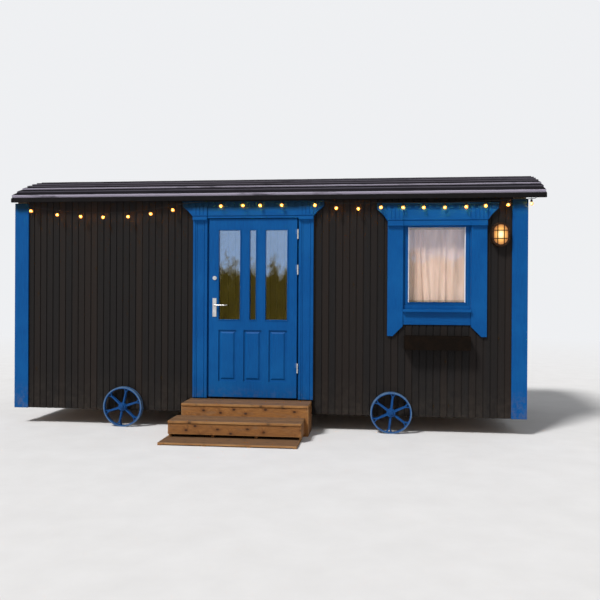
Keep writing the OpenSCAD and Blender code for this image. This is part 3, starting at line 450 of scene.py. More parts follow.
def lamp_lens():
    """Frosted glass lit from behind: white in the middle, amber towards the ring."""
    look = Shader("lamp_lens")
    low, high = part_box("lamp_glass")
    middle = [(a + b) / 2 for a, b in zip(low, high)]
    half = ((high[0] - low[0]) / 2, 1.0, (high[2] - low[2]) / 2)
    place = look.place()
    frost = look.noise(place, 260, 3)
    away = look.length(look.vector("DIVIDE", look.vector("SUBTRACT", place, middle), half))
    away = look.math("ADD", away, look.spread(frost, -0.08, 0.08))
    glow = look.mix(look.level(away, 0.15, 0.55), LENS_BRIGHT, LENS_AMBER)
    glow = look.mix(look.level(away, 0.60, 1.0), glow, LENS_DIM)
    look.set(Base_Color=look.mix(frost, LENS, LENS_PALE), Roughness=0.35)
    look.set(Emission_Color=glow, Emission_Strength=look.level(away, 0.15, 1.0, 1.5, 0.65))
    look.set(Normal=look.bump(frost, 0.0006, 0.4))
    return look.material


def window_pane(name, node, alpha_low, alpha_high, roughness):
    """Thin glass with a painted reflection: a pale blue sheen towards its top and a dull olive one below.
    """
    look = Shader(name)
    place = look.place()
    low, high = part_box(node)
    # Painted reflection: tint and opacity change with height, pale blue and more mirror-like above, dull
    # olive below
    rise = look.level(look.axis(place, "Z"), low[2], high[2])
    smear = look.noise(look.stretch(place, (1, 1, 0.6)), 9, 5, 0.7)
    upper = look.level(look.math("ADD", rise, look.spread(smear, -0.16, 0.16)), 0.48, 0.66)
    alpha = look.level(upper, 0.0, 1.0, alpha_low, alpha_high)
    alpha = look.math("ADD", alpha, look.spread(smear, -0.02, 0.02))
    look.set(Base_Color=look.mix(upper, PANE_REFLECTION_LOW, PANE_REFLECTION_HIGH), Metallic=1.0, Roughness=roughness)
    look.set(Alpha=alpha, Normal=look.bump(look.noise(place, 3.5, 3), 0.004, 0.35))
    return look.material


def voile():
    """Sheer cream cloth with a fine weave, a darker hem and a faint painted glow, as if lit from behind.
    """
    look = Shader("voile")
    place = look.place()
    warp = look.noise(look.stretch(place, (1, 1, 0.06)), 900, 2)
    weft = look.noise(look.stretch(place, (0.06, 1, 1)), 900, 2)
    shade = look.noise(look.stretch(place, (6, 6, 0.7)), 3, 4)
    hem_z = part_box("window_curtain")[0][2] - HEM_DROP + HEM
    hem = look.level(look.axis(place, "Z"), hem_z, hem_z - EDGE, 0.0, 0.55)
    color = look.mix(hem, look.mix(look.spread(shade), VOILE, VOILE_PALE), VOILE_HEM)
    look.set(Base_Color=color, Roughness=0.85, Sheen_Weight=0.4, Alpha=0.93, Subsurface_Weight=0.1)
    # Painted glow: the cloth emits a faint light of its own colour
    look.set(Emission_Color=color, Emission_Strength=look.spread(shade, 0.10, 0.20))
    look.set(Normal=look.bump(look.times(warp, weft), 0.0008, 0.5))
    return look.material


def black_rubber():
    """Dull black rubber with faint scuffs."""
    look = Shader("black_rubber")
    scuff = look.noise(look.place(), 180, 3)
    look.set(Base_Color=look.mix(look.level(scuff, 0.4, 0.8), RUBBER, RUBBER_SCUFF))
    look.set(Roughness=look.spread(scuff, 0.6, 0.8), Normal=look.bump(scuff, 0.0003, 0.4))
    look.set(Specular_IOR_Level=0.12)
    return look.material


def bulb_glass():
    """Thin amber glass with a faint glow of its own."""
    look = Shader("bulb_glass")
    swirl = look.noise(look.place(), 70, 3)
    look.set(Base_Color=look.mix(swirl, BULB, BULB_PALE), Roughness=0.08)
    look.set(Transmission_Weight=0.85, IOR=1.2, Emission_Color=BULB_GLOW, Emission_Strength=0.45)
    look.set(Normal=look.bump(swirl, 0.0006, 0.3))
    return look.material


def bulb_core():
    """Lit filament, a little uneven from bulb to bulb."""
    look = Shader("bulb_core")
    look.set(Base_Color=CORE, Roughness=0.4, Emission_Color=CORE_GLOW)
    look.set(Emission_Strength=look.spread(look.noise(look.place(), 60, 2), 145.0, 175.0))
    return look.material


class Heap:
    """Points and faces of one joined mesh. Each point keeps its place in the grain, tone and wear."""

    def __init__(self):
        self.points = []
        self.faces = []
        self.grain = []
        self.tone = []
        self.wear = []

    def loft(self, rings, tone=0.5):
        """Closed skin through rings of (point, grain, wear) triples, with a cap at each end."""
        start = len(self.points)
        count = len(rings[0])
        for ring in rings:
            for point, grain, wear in ring:
                self.points.append(point)
                self.grain.append(grain)
                self.wear.append(wear)
                self.tone.append(tone)
        for i in range(len(rings) - 1):
            for k in range(count):
                a = start + i * count + k
                b = start + i * count + (k + 1) % count
                self.faces.append((a, b, b + count, a + count))
        last = start + (len(rings) - 1) * count
        self.faces.append(tuple(range(start, start + count)))
        self.faces.append(tuple(range(last, last + count)))

    def piece(self, name, material, body, slot, smooth=40):
        """Makes the heap a piece of the scene, with the three values as its attributes."""
        mesh = bpy.data.meshes.new(name)
        mesh.from_pydata(self.points, [], self.faces)
        for key, kind, values in (
            ("grain", "FLOAT_VECTOR", [c for g in self.grain for c in g]),
            ("tone", "FLOAT", self.tone),
            ("wear", "FLOAT", self.wear),
        ):
            layer = mesh.attributes.new(key, kind, "POINT")
            layer.data.foreach_set("vector" if kind == "FLOAT_VECTOR" else "value", values)
        return finish_piece(name, mesh, material, body, smooth)


def finish_piece(name, mesh, material, body, smooth):
    """Turns the faces outwards, smooths all but the sharp edges and makes the piece ride."""
    work = bmesh.new()
    work.from_mesh(mesh)
    bmesh.ops.recalc_face_normals(work, faces=work.faces)
    work.to_mesh(mesh)
    work.free()
    mesh.polygons.foreach_set("use_smooth", [True] * len(mesh.polygons))
    mesh.set_sharp_from_angle(angle=math.radians(smooth))
    mesh.materials.append(material)
    piece = added(name, mesh)
    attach(piece, body)
    return piece


def plank(heap, rng, place, length, width, thick, edge=0.003, wave=0.0008, step=0.2):
    """Plank with worn rounded edges. Its own X runs along it from 0, Y across, Z from 0 up."""
    half = width / 2
    profile = [
        (-half, thick - edge, 1), (edge - half, thick, 1), (3 * edge - half, thick, 0), (0, thick, 0),
        (half - 3 * edge, thick, 0), (half - edge, thick, 1), (half, thick - edge, 1),
        (half, edge, 1), (half - edge, 0, 0), (edge - half, 0, 0), (-half, edge, 1),
    ]
    count = max(2, round(length / step))
    stations = [0, edge, 3 * edge]
    stations += [length * i / count for i in range(1, count)]
    stations += [length - 3 * edge, length - edge, length]
    offset = Vector((rng.uniform(0, 40), rng.uniform(0, 40), rng.uniform(0, 40)))
    rings = []
    for i, u in enumerate(stations):
        end = i in (0, len(stations) - 1)
        near_end = i in (1, len(stations) - 2)
        sway = Vector((u * 2.1, 0, 0)) + offset
        lift = wave * noise.noise(sway)
        ring = []
        for v, w, worn in profile:
            if end:
                v -= math.copysign(min(edge, abs(v)), v)
                w += edge if w < thick / 2 else -edge
            rough = wave * 0.6 * noise.noise(Vector((u * 9, v * 20, w * 20)) + offset)
            inside = -abs(rough) if worn else 0
            point = Vector((u, v + math.copysign(1, v) * inside, min(max(w + lift + inside, 0), thick)))
            wear = 1.0 if worn or end or near_end else 0.0
            ring.append((place @ point, Vector((u, v, w)) + offset, wear))
        rings.append(ring)
    heap.loft(rings, rng.random())


def turned(origin, along=(1, 0, 0), up=(0, 0, 1)):
    """Matrix that puts a plank's own X along one direction and its own Z along another."""
    x = Vector(along).normalized()
    z = Vector(up).normalized()
    y = z.cross(x)
    return Matrix.Translation(origin) @ Matrix((x, y, z)).transposed().to_4x4()


# Light cable. Its route repeats the part's own, in metres
CABLE_D = 0.007
cable_route = [
    (-2.800, 2.552), (-2.755, 2.508), (-2.440, 2.462), (-2.160, 2.440), (-1.895, 2.430),
    (-1.600, 2.435), (-1.335, 2.464), (-1.080, 2.505), (-0.810, 2.536), (-0.530, 2.546),
    (-0.280, 2.549), (-0.085, 2.549), (0.155, 2.549), (0.525, 2.546), (0.760, 2.512),
    (1.000, 2.502), (1.245, 2.516), (1.485, 2.512), (1.705, 2.510), (1.930, 2.508),
    (2.155, 2.514), (2.360, 2.523), (2.595, 2.531), (2.835, 2.542), (2.885, 2.552),
]
# Inner point of the route at which no bulb hangs
NO_BULB = 8
# Gap between the cable's middle and a holder's top
HOLDER_TOP = 0.0044
HOLDER_L = 0.032
HOLDER_D = 0.024
# Height of a holder's top over its first rib, and the ribs' number and distance
RIB_TOP = 0.007
RIB_COUNT = 9
RIB_PITCH = 0.0024
BULB_D = 0.042
CORE_D = 0.012
# Gap between a holder's foot and the middle of its bulb
BULB_DROP = 0.016
cable_points = [Vector((x, cable_y, z)) for x, z in cable_route]
# Handle of each point: a sixth of the way between its neighbours
cable_slopes = [
    (cable_points[min(i + 1, len(cable_points) - 1)] - cable_points[max(i - 1, 0)]) / 6
    for i in range(len(cable_points))
]
bulb_points = [p for i, p in enumerate(cable_points) if 0 < i < len(cable_points) - 1 and i != NO_BULB]


def make_cable(material):
    """Cable as one smooth curve along its route."""
    curve = bpy.data.curves.new("festoon_cable", "CURVE")
    curve.dimensions = "3D"
    curve.bevel_depth = CABLE_D / 2
    curve.bevel_resolution = 3
    curve.resolution_u = 8
    spline = curve.splines.new("BEZIER")
    spline.bezier_points.add(len(cable_points) - 1)
    for knot, point, slope in zip(spline.bezier_points, cable_points, cable_slopes):
        knot.co = point
        knot.handle_left = point - slope
        knot.handle_right = point + slope
    curve.materials.append(material)
    cable = added("festoon_cable", curve)
    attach(cable, "hut")
    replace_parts(cable, "light_cable")
    return cable


def spun(heap, profile, sides):
    """Skin round an upright axis through the middle of (centre, radius, z) rings."""
    rings = []
    for centre, radius, z in profile:
        ring = []
        for k in range(sides):
            turn = 2 * math.pi * k / sides
            point = centre + Vector((radius * math.cos(turn), radius * math.sin(turn), z))
            ring.append((point, point, 0.0))
        rings.append(ring)
    heap.loft(rings)


def make_bulbs(rubber, glass, core):
    """Ribbed holders under the cable, each with a glass globe round a lit core."""
    holders, globes, cores = Heap(), Heap(), Heap()
    top = -HOLDER_TOP
    foot = top - HOLDER_L
    middle = foot - BULB_DROP
    r = HOLDER_D / 2
    for p in bulb_points:
        ribs = [(p, r * (0.86 if i % 2 else 1.0), top - RIB_TOP - i * RIB_PITCH) for i in range(RIB_COUNT)]
        neck = [(p, 0.003, top + 0.0008), (p, 0.003, top - 0.004), (p, r * 0.7, top - 0.005)]
        spun(holders, neck + ribs + [(p, r, foot + 0.002), (p, r * 0.9, foot)], 20)
        for heap, radius, low in ((globes, BULB_D / 2 - 0.0003, -75), (cores, CORE_D / 2, -80)):
            arcs = [math.radians(a) for a in range(low, 61, 15)]
            spun(heap, [(p, radius * math.cos(a), middle + radius * math.sin(a)) for a in arcs], 24)
    return [
        holders.piece("bulb_holders", rubber, "hut", "cable_rubber"),
        globes.piece("bulb_globes", glass, "hut", "bulb_glass"),
        cores.piece("bulb_cores", core, "hut", "bulb_glass"),
    ]


rubber = black_rubber()
cable = make_cable(rubber)
bulbs = make_bulbs(rubber, bulb_glass(), bulb_core())
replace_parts(bulbs[1], "light_bulbs")

# Cladding boards: their pitch, and how far their faces and the grooves between them stand out
BOARD_PITCH = 0.076
BOARD_OUT = 0.009
GROOVE_OUT = 0.001
# How far boards run in under trim, and how far a corner board reaches in from a wall's end
UNDER_TRIM = 0.010
CORNER_REACH = 0.140
# Gap between the boards' tops and the roof deck, below the eaves and at the ends
EAVE_GAP = 0.004
END_GAP = 0.002
# Places across a board, from its left edge or, where negative, from its right one, and out
BOARD_PROFILE = [
    (0.0, GROOVE_OUT), (0.0035, GROOVE_OUT), (0.0060, 0.0070), (0.0095, BOARD_OUT),
    (-0.0095, BOARD_OUT), (-0.0060, 0.0070), (-0.0035, GROOVE_OUT), (-0.0001, GROOVE_OUT),
]


def cladding_board(heap, rng, put, v0, width, low, top):
    """Upright board from low to top(v) at the place put(across, out, up), one groove at each side."""
    profile = [(v0 + a if a >= 0 else v0 + width + a, out) for a, out in BOARD_PROFILE]
    high = min(top(v) for v, _ in profile)
    profile += [(v0 + width - 0.0001, 0.0), (v0, 0.0)]
    count = max(1, round((high - low) / 0.35))
    offset = Vector((rng.uniform(0, 40), rng.uniform(0, 40), 0))
    lean = rng.uniform(-0.0008, 0.0004)
    rings = []
    for i in range(count + 2):
        share = 0 if i == 0 else (i - 1) / count
        ring = []
        for v, out in profile:
            up = low + (top(v) - low) * share
            if i == 1:
                up = low + 0.002
            if out > GROOVE_OUT:
                out += lean + 0.0004 * noise.noise(Vector((v * 3, up * 2, offset[0])))
                out -= 0.002 if i == 0 else 0
            ring.append((put(v, out, up), Vector((up, v, out)) + offset, 0.0))
        rings.append(ring)
    heap.loft(rings, rng.random())


def clear_runs(low, high, v0, v1, holes):
    """Parts of an upright board that no hole or trim covers, as [low, high] runs."""
    runs = [[low, high]]
    for left, right, bottom, top in holes:
        if v0 < left or v1 > right:
            continue
        cut = []
        for a, b in runs:
            if bottom >= b or top <= a:
                cut.append([a, b])
            else:
                cut += [run for run in ([a, bottom], [top, b]) if run[1] - run[0] > 0.004]
        runs = cut
    return runs


def front_holes():
    """Rectangles of the front wall that the door, the window, their trim and the steps cover."""
    door, landing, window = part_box("door_casings"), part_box("landing_step"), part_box("window_casings")
    door_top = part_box("door_head")[1][2] - UNDER_TRIM
    window_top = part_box("window_head")[1][2] - UNDER_TRIM
    window_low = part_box("window_sill")[0][2] + UNDER_TRIM
    return [
        (door[0][0] + UNDER_TRIM, door[1][0] - UNDER_TRIM, skirt_z - 1, door_top),
        (landing[0][0] - BOARD_PITCH, landing[1][0] + BOARD_PITCH, skirt_z - 1, landing[1][2] + 0.001),
        (window[0][0] + UNDER_TRIM, window[1][0] - UNDER_TRIM, window_low, window_top),
    ]


def clad_wall(heap, rng, put, v_low, v_high, top, holes):
    """Boards side by side from v_low to v_high, up to top(v), apart from the holes."""
    count = round((v_high - v_low) / BOARD_PITCH)
    pitch = (v_high - v_low) / count
    for i in range(count):
        v0 = v_low + i * pitch
        low = skirt_z + rng.uniform(0.0, 0.003)
        high = min(top(v0), top(v0 + pitch))
        for a, b in clear_runs(low, high, v0, v0 + pitch, holes):
            cladding_board(heap, rng, put, v0, pitch, a, top if b == high else lambda v, b=b: b)


def make_cladding(material):
    """Boards on all four sides, and at both ends also over the corner boards."""
    post_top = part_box("corner_boards")[1][2]
    post_in = CORNER_REACH - UNDER_TRIM
    eave_top = under_deck(front_y - BOARD_OUT) - EAVE_GAP
    rng = random.Random(11)
    front, back, ends = Heap(), Heap(), Heap()
    posts = [(front_y, back_y, skirt_z - 1, post_top - UNDER_TRIM)]
    for heap, y, way, holes in ((front, front_y, -1, front_holes()), (back, back_y, 1, ())):
        clad_wall(
            heap, rng, lambda v, out, up: Vector((v, y + way * out, up)),
            left_x + post_in, right_x - post_in, lambda v: eave_top, holes,
        )
    for x, way in ((left_x, -1), (right_x, 1)):
        for v0, v1, holes in (
            (front_y + post_in, back_y - post_in, ()),
            (front_y + 0.001, front_y + post_in, posts),
            (back_y - post_in, back_y - 0.001, posts),
        ):
            clad_wall(
                ends, rng, lambda v, out, up: Vector((x + way * out, v, up)),
                v0, v1, lambda v: under_deck(v) - END_GAP, holes,
            )
    for heap, name in ((front, "front_cladding"), (back, "back_cladding"), (ends, "end_cladding")):
        heap.piece(name, material, "hut", "black_cladding", smooth=25)


# Lapped roof boards: their number on a slope, and their thickness at the lip and at the upper edge
SLOPE_BOARDS = 9
BOARD_LIP = 0.032
BOARD_THIN = 0.016
# Ridge board: its width, its rise above the boards' lips and how far it stays back at each end
RIDGE_W = 0.190
RIDGE_LIFT = 0.008
RIDGE_BACK = 0.002
# How far a board runs in under the next one, and how far the lowest one stays back from the eave
TUCK = 0.018
EAVE_BACK = 0.016
# How far a lip is worn away on average, along the slope and in thickness
BITE = 0.004
SINK = 0.002
# Stations along a board
ROOF_STATIONS = 150
# How far each board's lip is worn to bare wood at its upper edge, with a painted highlight, from the ridge
# down to the eave
LIP_WEAR_HIGHLIGHT = (0.0, 0.10, 0.0, 0.15, 0.26, 0.24, 0.95, 0.22, 1.0)
ridge_angle = math.asin(RIDGE_W / 2 / (roof_r + BOARD_THIN))
board_angle = (eave_angle - EAVE_BACK / roof_r - ridge_angle) / SLOPE_BOARDS


def roof_board(heap, rng, side, upper, lower, worn):
    """One lapped board, thick along its wavy lower edge and thin where the next one covers it."""
    worn_foot = worn ** 3
    x0 = roof_left + rng.uniform(0.001, 0.010)
    x1 = roof_right - rng.uniform(0.001, 0.010)
    seed = rng.uniform(0, 100)
    rings = []
    for i in range(ROOF_STATIONS + 1):
        x = x0 + (x1 - x0) * i / ROOF_STATIONS
        bite = BITE + BITE * noise.noise(Vector((x * 1.3, seed, 0)))
        bite += 0.0025 * noise.noise(Vector((x * 7, seed, 1)))
        sink = SINK + SINK * noise.noise(Vector((x * 1.7, seed, 2)))
        sink += SINK / 2 * noise.noise(Vector((x * 9, seed, 3)))
        low = lower - max(bite, 0) / roof_r
        lip = roof_r + BOARD_LIP - max(sink, 0)
        up = upper - TUCK / roof_r
        outline = [
            (roof_r + 0.0005, up, 0), (roof_r + 0.0005, low, worn_foot),
            (roof_r + 0.4 * BOARD_LIP, low, worn_foot),
            (lip - 0.004, low, worn), (lip - 0.001, low - 0.0015 / roof_r, worn),
            (lip, low - 0.004 / roof_r, 0.7 * worn),
            (lip - 0.0004, low - 0.009 / roof_r, 0), (lip - 0.006, (low + upper) / 2, 0),
            (roof_r + BOARD_THIN, upper, 0), (roof_r + BOARD_THIN - 0.002, up, 0),
        ]
        rings.append([
            (on_arc(r, side * a, x), Vector((x + seed, (a - upper) * roof_r + seed, r - roof_r)), wear)
            for r, a, wear in outline
        ])
    heap.loft(rings, rng.random())


def make_roof(material):
    """Boards down both slopes, with a flat board over the ridge."""
    rng = random.Random(23)
    heap = Heap()
    for side in (-1, 1):
        for i in range(SLOPE_BOARDS):
            upper = ridge_angle + i * board_angle
            roof_board(heap, rng, side, upper, upper + board_angle, LIP_WEAR_HIGHLIGHT[i])
    top = arc_z + roof_r + BOARD_LIP + RIDGE_LIFT
    foot = arc_z + roof_r * math.cos(ridge_angle) + 0.004
    place = turned((roof_left + RIDGE_BACK, mid_y, foot))
    length = roof_right - roof_left - 2 * RIDGE_BACK
    plank(heap, rng, place, length, RIDGE_W, top - foot - 0.0005, edge=0.005, wave=0.002)
    roof = heap.piece("lapped_roof_boards", material, "hut", "roof_board_wood", smooth=30)
    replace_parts(roof, "roof_boards")


# Steps: the boards' thickness and gap, and how far a tread stands out over its riser
TREAD_T = 0.028
BOARD_GAP = 0.006
NOSING = 0.010
# Battens under the ground board, and the gap between it and the lower step's riser
BATTEN_T = 0.008
BATTEN_W = 0.040
TOE_GAP = 0.030
# Screws in the treads: their radius, height, and the distance of the outer ones from a tread's end
SCREW_R = 0.0045
SCREW_OUT = 0.0006
SCREW_INSET = 0.014


def step_planks(heap, rng, node, riser_z, foot_z):
    """Box step: two tread boards, a riser and four boards on edge under them."""
    (x0, y0, _), (x1, y1, top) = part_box(node)
    y0 += NOSING
    under = top - TREAD_T
    width = (y1 - y0 + NOSING - BOARD_GAP) / 2
    for i in range(2):
        middle = y0 - NOSING + width / 2 + i * (width + BOARD_GAP)
        plank(heap, rng, turned((x0, middle, under)), x1 - x0, width, TREAD_T, edge=0.004)
    riser_h = under - riser_z
    place = turned((x0, y0 + TREAD_T, riser_z + riser_h / 2), up=(0, -1, 0))
    plank(heap, rng, place, x1 - x0, riser_h, TREAD_T)
    side_h = under - foot_z
    for i in range(4):
        x = x0 + i * (x1 - x0 - TREAD_T) / 3
        place = turned((x + TREAD_T, y1, foot_z + side_h / 2), (0, -1, 0), (-1, 0, 0))
        plank(heap, rng, place, y1 - y0 - TREAD_T, side_h, TREAD_T)


def ground_planks(heap, rng, node):
    """Ground board: two planks on four battens."""
    (x0, y0, _), (x1, y1, top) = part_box(node)
    width = (y1 - y0 - BOARD_GAP) / 2
    for i in range(2):
        place = turned((x0, y0 + width / 2 + i * (width + BOARD_GAP), BATTEN_T))
        plank(heap, rng, place, x1 - x0, width, top - BATTEN_T, edge=0.004)
    for i in range(4):
        x = x0 + BATTEN_W / 2 + i * (x1 - x0 - BATTEN_W) / 3
        place = turned((x, y0, 0), along=(0, 1, 0))
        plank(heap, rng, place, y1 - y0, BATTEN_W, BATTEN_T, edge=0.002)


def screw_heads(heap, places):
    """Countersunk heads with a dimple each, a little proud of the wood."""
    for place in places:
        profile = [
            (place, SCREW_R, -0.001), (place, SCREW_R, SCREW_OUT * 0.4), (place, SCREW_R * 0.8, SCREW_OUT),
            (place, SCREW_R * 0.35, SCREW_OUT), (place, SCREW_R * 0.3, SCREW_OUT - 0.0012),
        ]
        spun(heap, profile, 12)


def tread_screws(node):
    """Screw places along the boards on edge, two to a tread board."""
    (x0, y0, _), (x1, y1, top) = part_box(node)
    rows = [y0 + (y1 - y0) * share for share in (0.12, 0.38, 0.62, 0.88)]
    span = x1 - x0 - 2 * SCREW_INSET
    return [Vector((x0 + SCREW_INSET + i * span / 3, y, top - 0.0008)) for i in range(4) for y in rows]


def make_steps(wood, steel):
    """Landing, lower step and ground board as planks, with the screws of both treads."""
    rng = random.Random(7)
    for node, name, riser_z, foot_z in (
        ("landing_step", "landing_planks", 0.0, 0.0),
        ("lower_step", "lower_step_planks", TREAD_T + TOE_GAP, TREAD_T),
    ):
        heap = Heap()
        step_planks(heap, rng, node, riser_z, foot_z)
        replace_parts(heap.piece(name, wood, "hut", "step_wood"), node)
    heap = Heap()
    ground_planks(heap, rng, "ground_step")
    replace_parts(heap.piece("ground_planks", wood, "hut", "step_wood"), "ground_step")
    screws = Heap()
    for node in ("landing_step", "lower_step"):
        screw_heads(screws, tread_screws(node))
    screws.piece("step_screws", steel, "hut", "satin_steel")


# Floor planks: their width with the gap, which is stretched to fit, and the gap
FLOOR_PLANK_W = 0.135
FLOOR_GAP = 0.0008


def make_floor(wood):
    """Floor planks from end to end of the cabin."""
    (x0, y0, z0), (x1, y1, z1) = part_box("floor_deck")
    rng = random.Random(5)
    heap = Heap()
    count = round((y1 - y0) / FLOOR_PLANK_W)
    width = (y1 - y0) / count
    for i in range(count):
        place = turned((x0, y0 + (i + 0.5) * width, z0))
        plank(heap, rng, place, x1 - x0, width - FLOOR_GAP, z1 - z0, edge=0.0012, wave=0.0003, step=0.4)
    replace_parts(heap.piece("floor_planks", wood, "hut", "floor_boards"), "floor_deck")


# Curtain: its folds, and the mesh's columns and rows
CURTAIN_FOLDS = 9
CURTAIN_COLUMNS = 340
CURTAIN_ROWS = 26
# Curtain rail and the strips beside the glass. Each stands so far behind the wall's face
RAIL_H = 0.022
RAIL_T = 0.012
RAIL_BACK = 0.085
STRIP_W = 0.011
STRIP_T = 0.008
STRIP_BACK = 0.017


def make_curtain(material):
    """Sheer curtain in soft upright folds that open a little towards the hem."""
    (x0, y0, z0), (x1, y1, z1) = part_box("window_curtain")
    z0 -= HEM_DROP
    middle = (y0 + y1) / 2
    reach = (y1 - y0) / 2 - 0.001
    points = []
    for row in range(CURTAIN_ROWS + 1):
        down = row / CURTAIN_ROWS
        z = z1 - (z1 - z0) * down
        for column in range(CURTAIN_COLUMNS + 1):
            share = column / CURTAIN_COLUMNS
            sway = noise.noise(Vector((share * 4.3, down * 0.6, 4.0)))
            turn = 2 * math.pi * CURTAIN_FOLDS * share + 6.5 * sway
            depth = 0.45 + 0.75 * noise.noise(Vector((share * 5.0, down * 0.7, 9.0))) + 0.10 * down
            fold = math.sin(turn) + 0.18 * math.sin(2 * turn + 1)
            hem = 0.002 * noise.noise(Vector((share * 20, 3, 1))) if row == CURTAIN_ROWS else 0
            y = middle + reach * max(-1, min(1, 0.85 * depth * fold))
            points.append(Vector((x0 + (x1 - x0) * share, y, z + abs(hem))))
    wide = CURTAIN_COLUMNS + 1
    faces = [
        (r * wide + c, r * wide + c + 1, (r + 1) * wide + c + 1, (r + 1) * wide + c)
        for r in range(CURTAIN_ROWS) for c in range(CURTAIN_COLUMNS)
    ]
    mesh = bpy.data.meshes.new("voile_curtain")
    mesh.from_pydata(points, [], faces)
    curtain = finish_piece("voile_curtain", mesh, material, "hut", 180)
    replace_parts(curtain, "window_curtain")


def make_window_trim(wood, white):
    """Flat wooden curtain rail between the reveals, and a pale strip down each side of the glass."""
    (x0, _, z0), (x1, _, z1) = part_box("window_glass")
    left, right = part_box("window_frame")[0][0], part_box("window_frame")[1][0]
    rng = random.Random(3)
    rail = Heap()
    place = turned((left, front_y + RAIL_BACK, z1 - RAIL_H / 2), up=(0, -1, 0))
    plank(rail, rng, place, right - left, RAIL_H, RAIL_T, edge=0.002, wave=0.0003)
    rail.piece("curtain_rail", wood, "hut", "floor_boards")
    strips = Heap()
    for x in (x0 + STRIP_W / 2, x1 - STRIP_W / 2):
        place = turned((x, front_y + STRIP_BACK, z0), (0, 0, 1), (0, -1, 0))
        plank(strips, rng, place, z1 - z0, STRIP_W, STRIP_T, edge=0.0012, wave=0.0003)
    strips.piece("glazing_strips", white, "hut", "pane_glass")


def dress(names, material, bevel=0.0, merge=True):
    """Gives CAD nodes a material and, where asked, rounded edges, with flat faces merged first."""
    for name in names:
        piece = nodes[name]
        piece.data.materials.clear()
        piece.data.materials.append(material)
        if bevel:
            weld = piece.modifiers.new("weld", "WELD")
            weld.merge_threshold = 0.00001
            if merge:
                flat = piece.modifiers.new("flat", "DECIMATE")
                flat.decimate_type = "DISSOLVE"
                flat.angle_limit = math.radians(0.5)
            round_off = piece.modifiers.new("round", "BEVEL")
            round_off.width = bevel
            round_off.segments = 2
            round_off.limit_method = "ANGLE"
            round_off.angle_limit = math.radians(32)
            piece.modifiers.new("normals", "WEIGHTED_NORMAL")


# Finishes of the CAD nodes
WALLS = [
    "front_wall_left", "front_wall_middle", "front_wall_right", "front_wall_under_window",
    "front_wall_header", "back_wall", "left_end_wall", "right_end_wall",
]
WHEELS = ["wheel_front_left", "wheel_front_right", "wheel_back_left", "wheel_back_right"]

upright_blue = blue_paint("blue_paint_upright", (50, 50, 2))
level_blue = blue_paint("blue_paint_level", (2, 50, 50))
step_wood = plank_wood("step_wood", STEP_WOOD, STEP_WOOD_DARK, STEP_WOOD_PALE, trodden=True)
steel = satin_steel()
rusty = rusty_steel()

dress(WALLS, lining())
dress(["front_skirt"], old_paint("dark_skirt", STAIN, STAIN_GREY))
dress(["roof_deck"], old_paint("deck_paint", DECK_PAINT, DECK_WORN), 0.002)
dress(["corner_boards", "door_casings", "door_jamb_left", "door_jamb_right"], upright_blue, 0.002)
dress(["window_casings", "door_leaf"], upright_blue, 0.0015)
dress(["window_frame"], upright_blue, 0.0015, merge=False)
dress(["door_head", "window_head", "window_sill", "door_frame_head"], level_blue, 0.0015)
dress(WHEELS, iron_paint(), 0.0015)
dress(["hinge_pins", "hinge_knuckles"], hinge_steel(), 0.0008)
dress(["handle_plates", "door_lever"], steel, 0.0008)
dress(["chassis_rails", "axle_left", "axle_right"], rusty, 0.001)
dress(["window_box"], old_paint("box_stain", BOX_STAIN, BOX_WORN, 9), 0.0015)
dress(["lamp_body"], bronze(), 0.001)
dress(["lamp_glass"], lamp_lens())
dress(["door_glass"], window_pane("door_pane", "door_glass", 0.06, 0.36, 0.04))
dress(["window_glass"], window_pane("window_pane", "window_glass", 0.03, 0.09, 0.02))

# Pieces that the scene adds
make_cladding(stained_boards())
make_roof(roof_paint())
make_steps(step_wood, steel)
make_floor(plank_wood("floor_wood", FLOOR_WOOD, FLOOR_WOOD_DARK, STEP_WOOD_PALE, 0.4, knotty=0.15))
make_curtain(voile())
make_window_trim(
    plank_wood("rail_wood", RAIL_WOOD, FLOOR_WOOD, STEP_WOOD_PALE, 0.5, knotty=0.3),
    old_paint("strip_paint", STRIP_WHITE, STRIP_WORN, 9),
)


# Studio: a wide pale floor that fades into the background, soft light from all round and a soft sun
BACKGROUND = (0.86, 0.87, 0.89)
AMBIENT = 0.37
SUN = 3.35
SUN_SPREAD = math.radians(12)
SUN_TURN = (math.radians(39), 0, math.radians(-38))
SUN_COLOR = (1.0, 0.98, 0.95)
FLOOR_COLOR = (0.66, 0.66, 0.67)
FLOOR_HALF = 60
FADE_NEAR = 6
FADE_FAR = 20


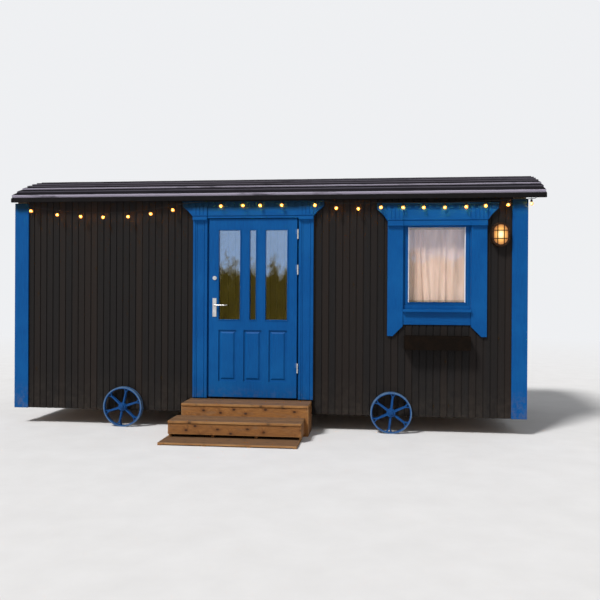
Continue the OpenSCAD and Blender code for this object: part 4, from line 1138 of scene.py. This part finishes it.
def make_floor_stage():
    """Pale floor, a little uneven in tone, that fades into the background far out."""
    look = Shader("studio_floor")
    place = look.place()
    pale = look.mix(look.spread(look.noise(place, 3, 5), 0.0, 0.2), FLOOR_COLOR, BACKGROUND)
    look.set(Base_Color=pale, Roughness=0.9, Normal=look.bump(look.noise(place, 60, 4), 0.001, 0.2))
    far = look.level(look.length(place), FADE_NEAR, FADE_FAR)
    background = look.node("Emission", {"Color": BACKGROUND})
    blend = look.node("MixShader", {0: far, 1: look.surface.outputs[0], 2: background})
    look.wire(blend, look.tree.nodes["Material Output"].inputs["Surface"])
    mesh = bpy.data.meshes.new("studio_floor")
    corners = [(x * FLOOR_HALF, y * FLOOR_HALF, 0) for x, y in ((-1, -1), (1, -1), (1, 1), (-1, 1))]
    mesh.from_pydata(corners, [], [(0, 1, 2, 3)])
    mesh.materials.append(look.material)
    added("studio_floor", mesh)


def make_world():
    """Soft light from all round. What the camera, gloss and glass see of it is the pale background."""
    world = bpy.data.worlds.new("studio")
    scene.world = world
    world.use_nodes = True
    tree = world.node_tree
    tree.nodes.clear()

    def node(kind, *sources):
        made = tree.nodes.new("ShaderNode" + kind)
        for socket, source in zip(made.inputs, sources):
            tree.links.new(source, socket)
        return made

    def larger(a, b):
        made = node("Math", a, b)
        made.operation = "MAXIMUM"
        return made.outputs[0]

    def light(color, strength):
        made = node("Background")
        made.inputs["Color"].default_value = (*color, 1)
        made.inputs["Strength"].default_value = strength
        return made.outputs[0]

    rays = node("LightPath").outputs
    seen = larger(rays["Is Camera Ray"], rays["Is Glossy Ray"])
    seen = larger(seen, rays["Is Transmission Ray"])
    blend = node("MixShader", seen, light((1.0, 1.0, 1.0), AMBIENT), light(BACKGROUND, 1.0))
    node("OutputWorld", blend.outputs[0])


def make_sun():
    """One soft sun from above, in front and to the left."""
    data = bpy.data.lights.new("soft_sun", "SUN")
    data.energy = SUN
    data.angle = SUN_SPREAD
    data.color = SUN_COLOR
    added("soft_sun", data).rotation_euler = SUN_TURN


make_floor_stage()
make_world()
make_sun()
scene.view_settings.view_transform = "Standard"
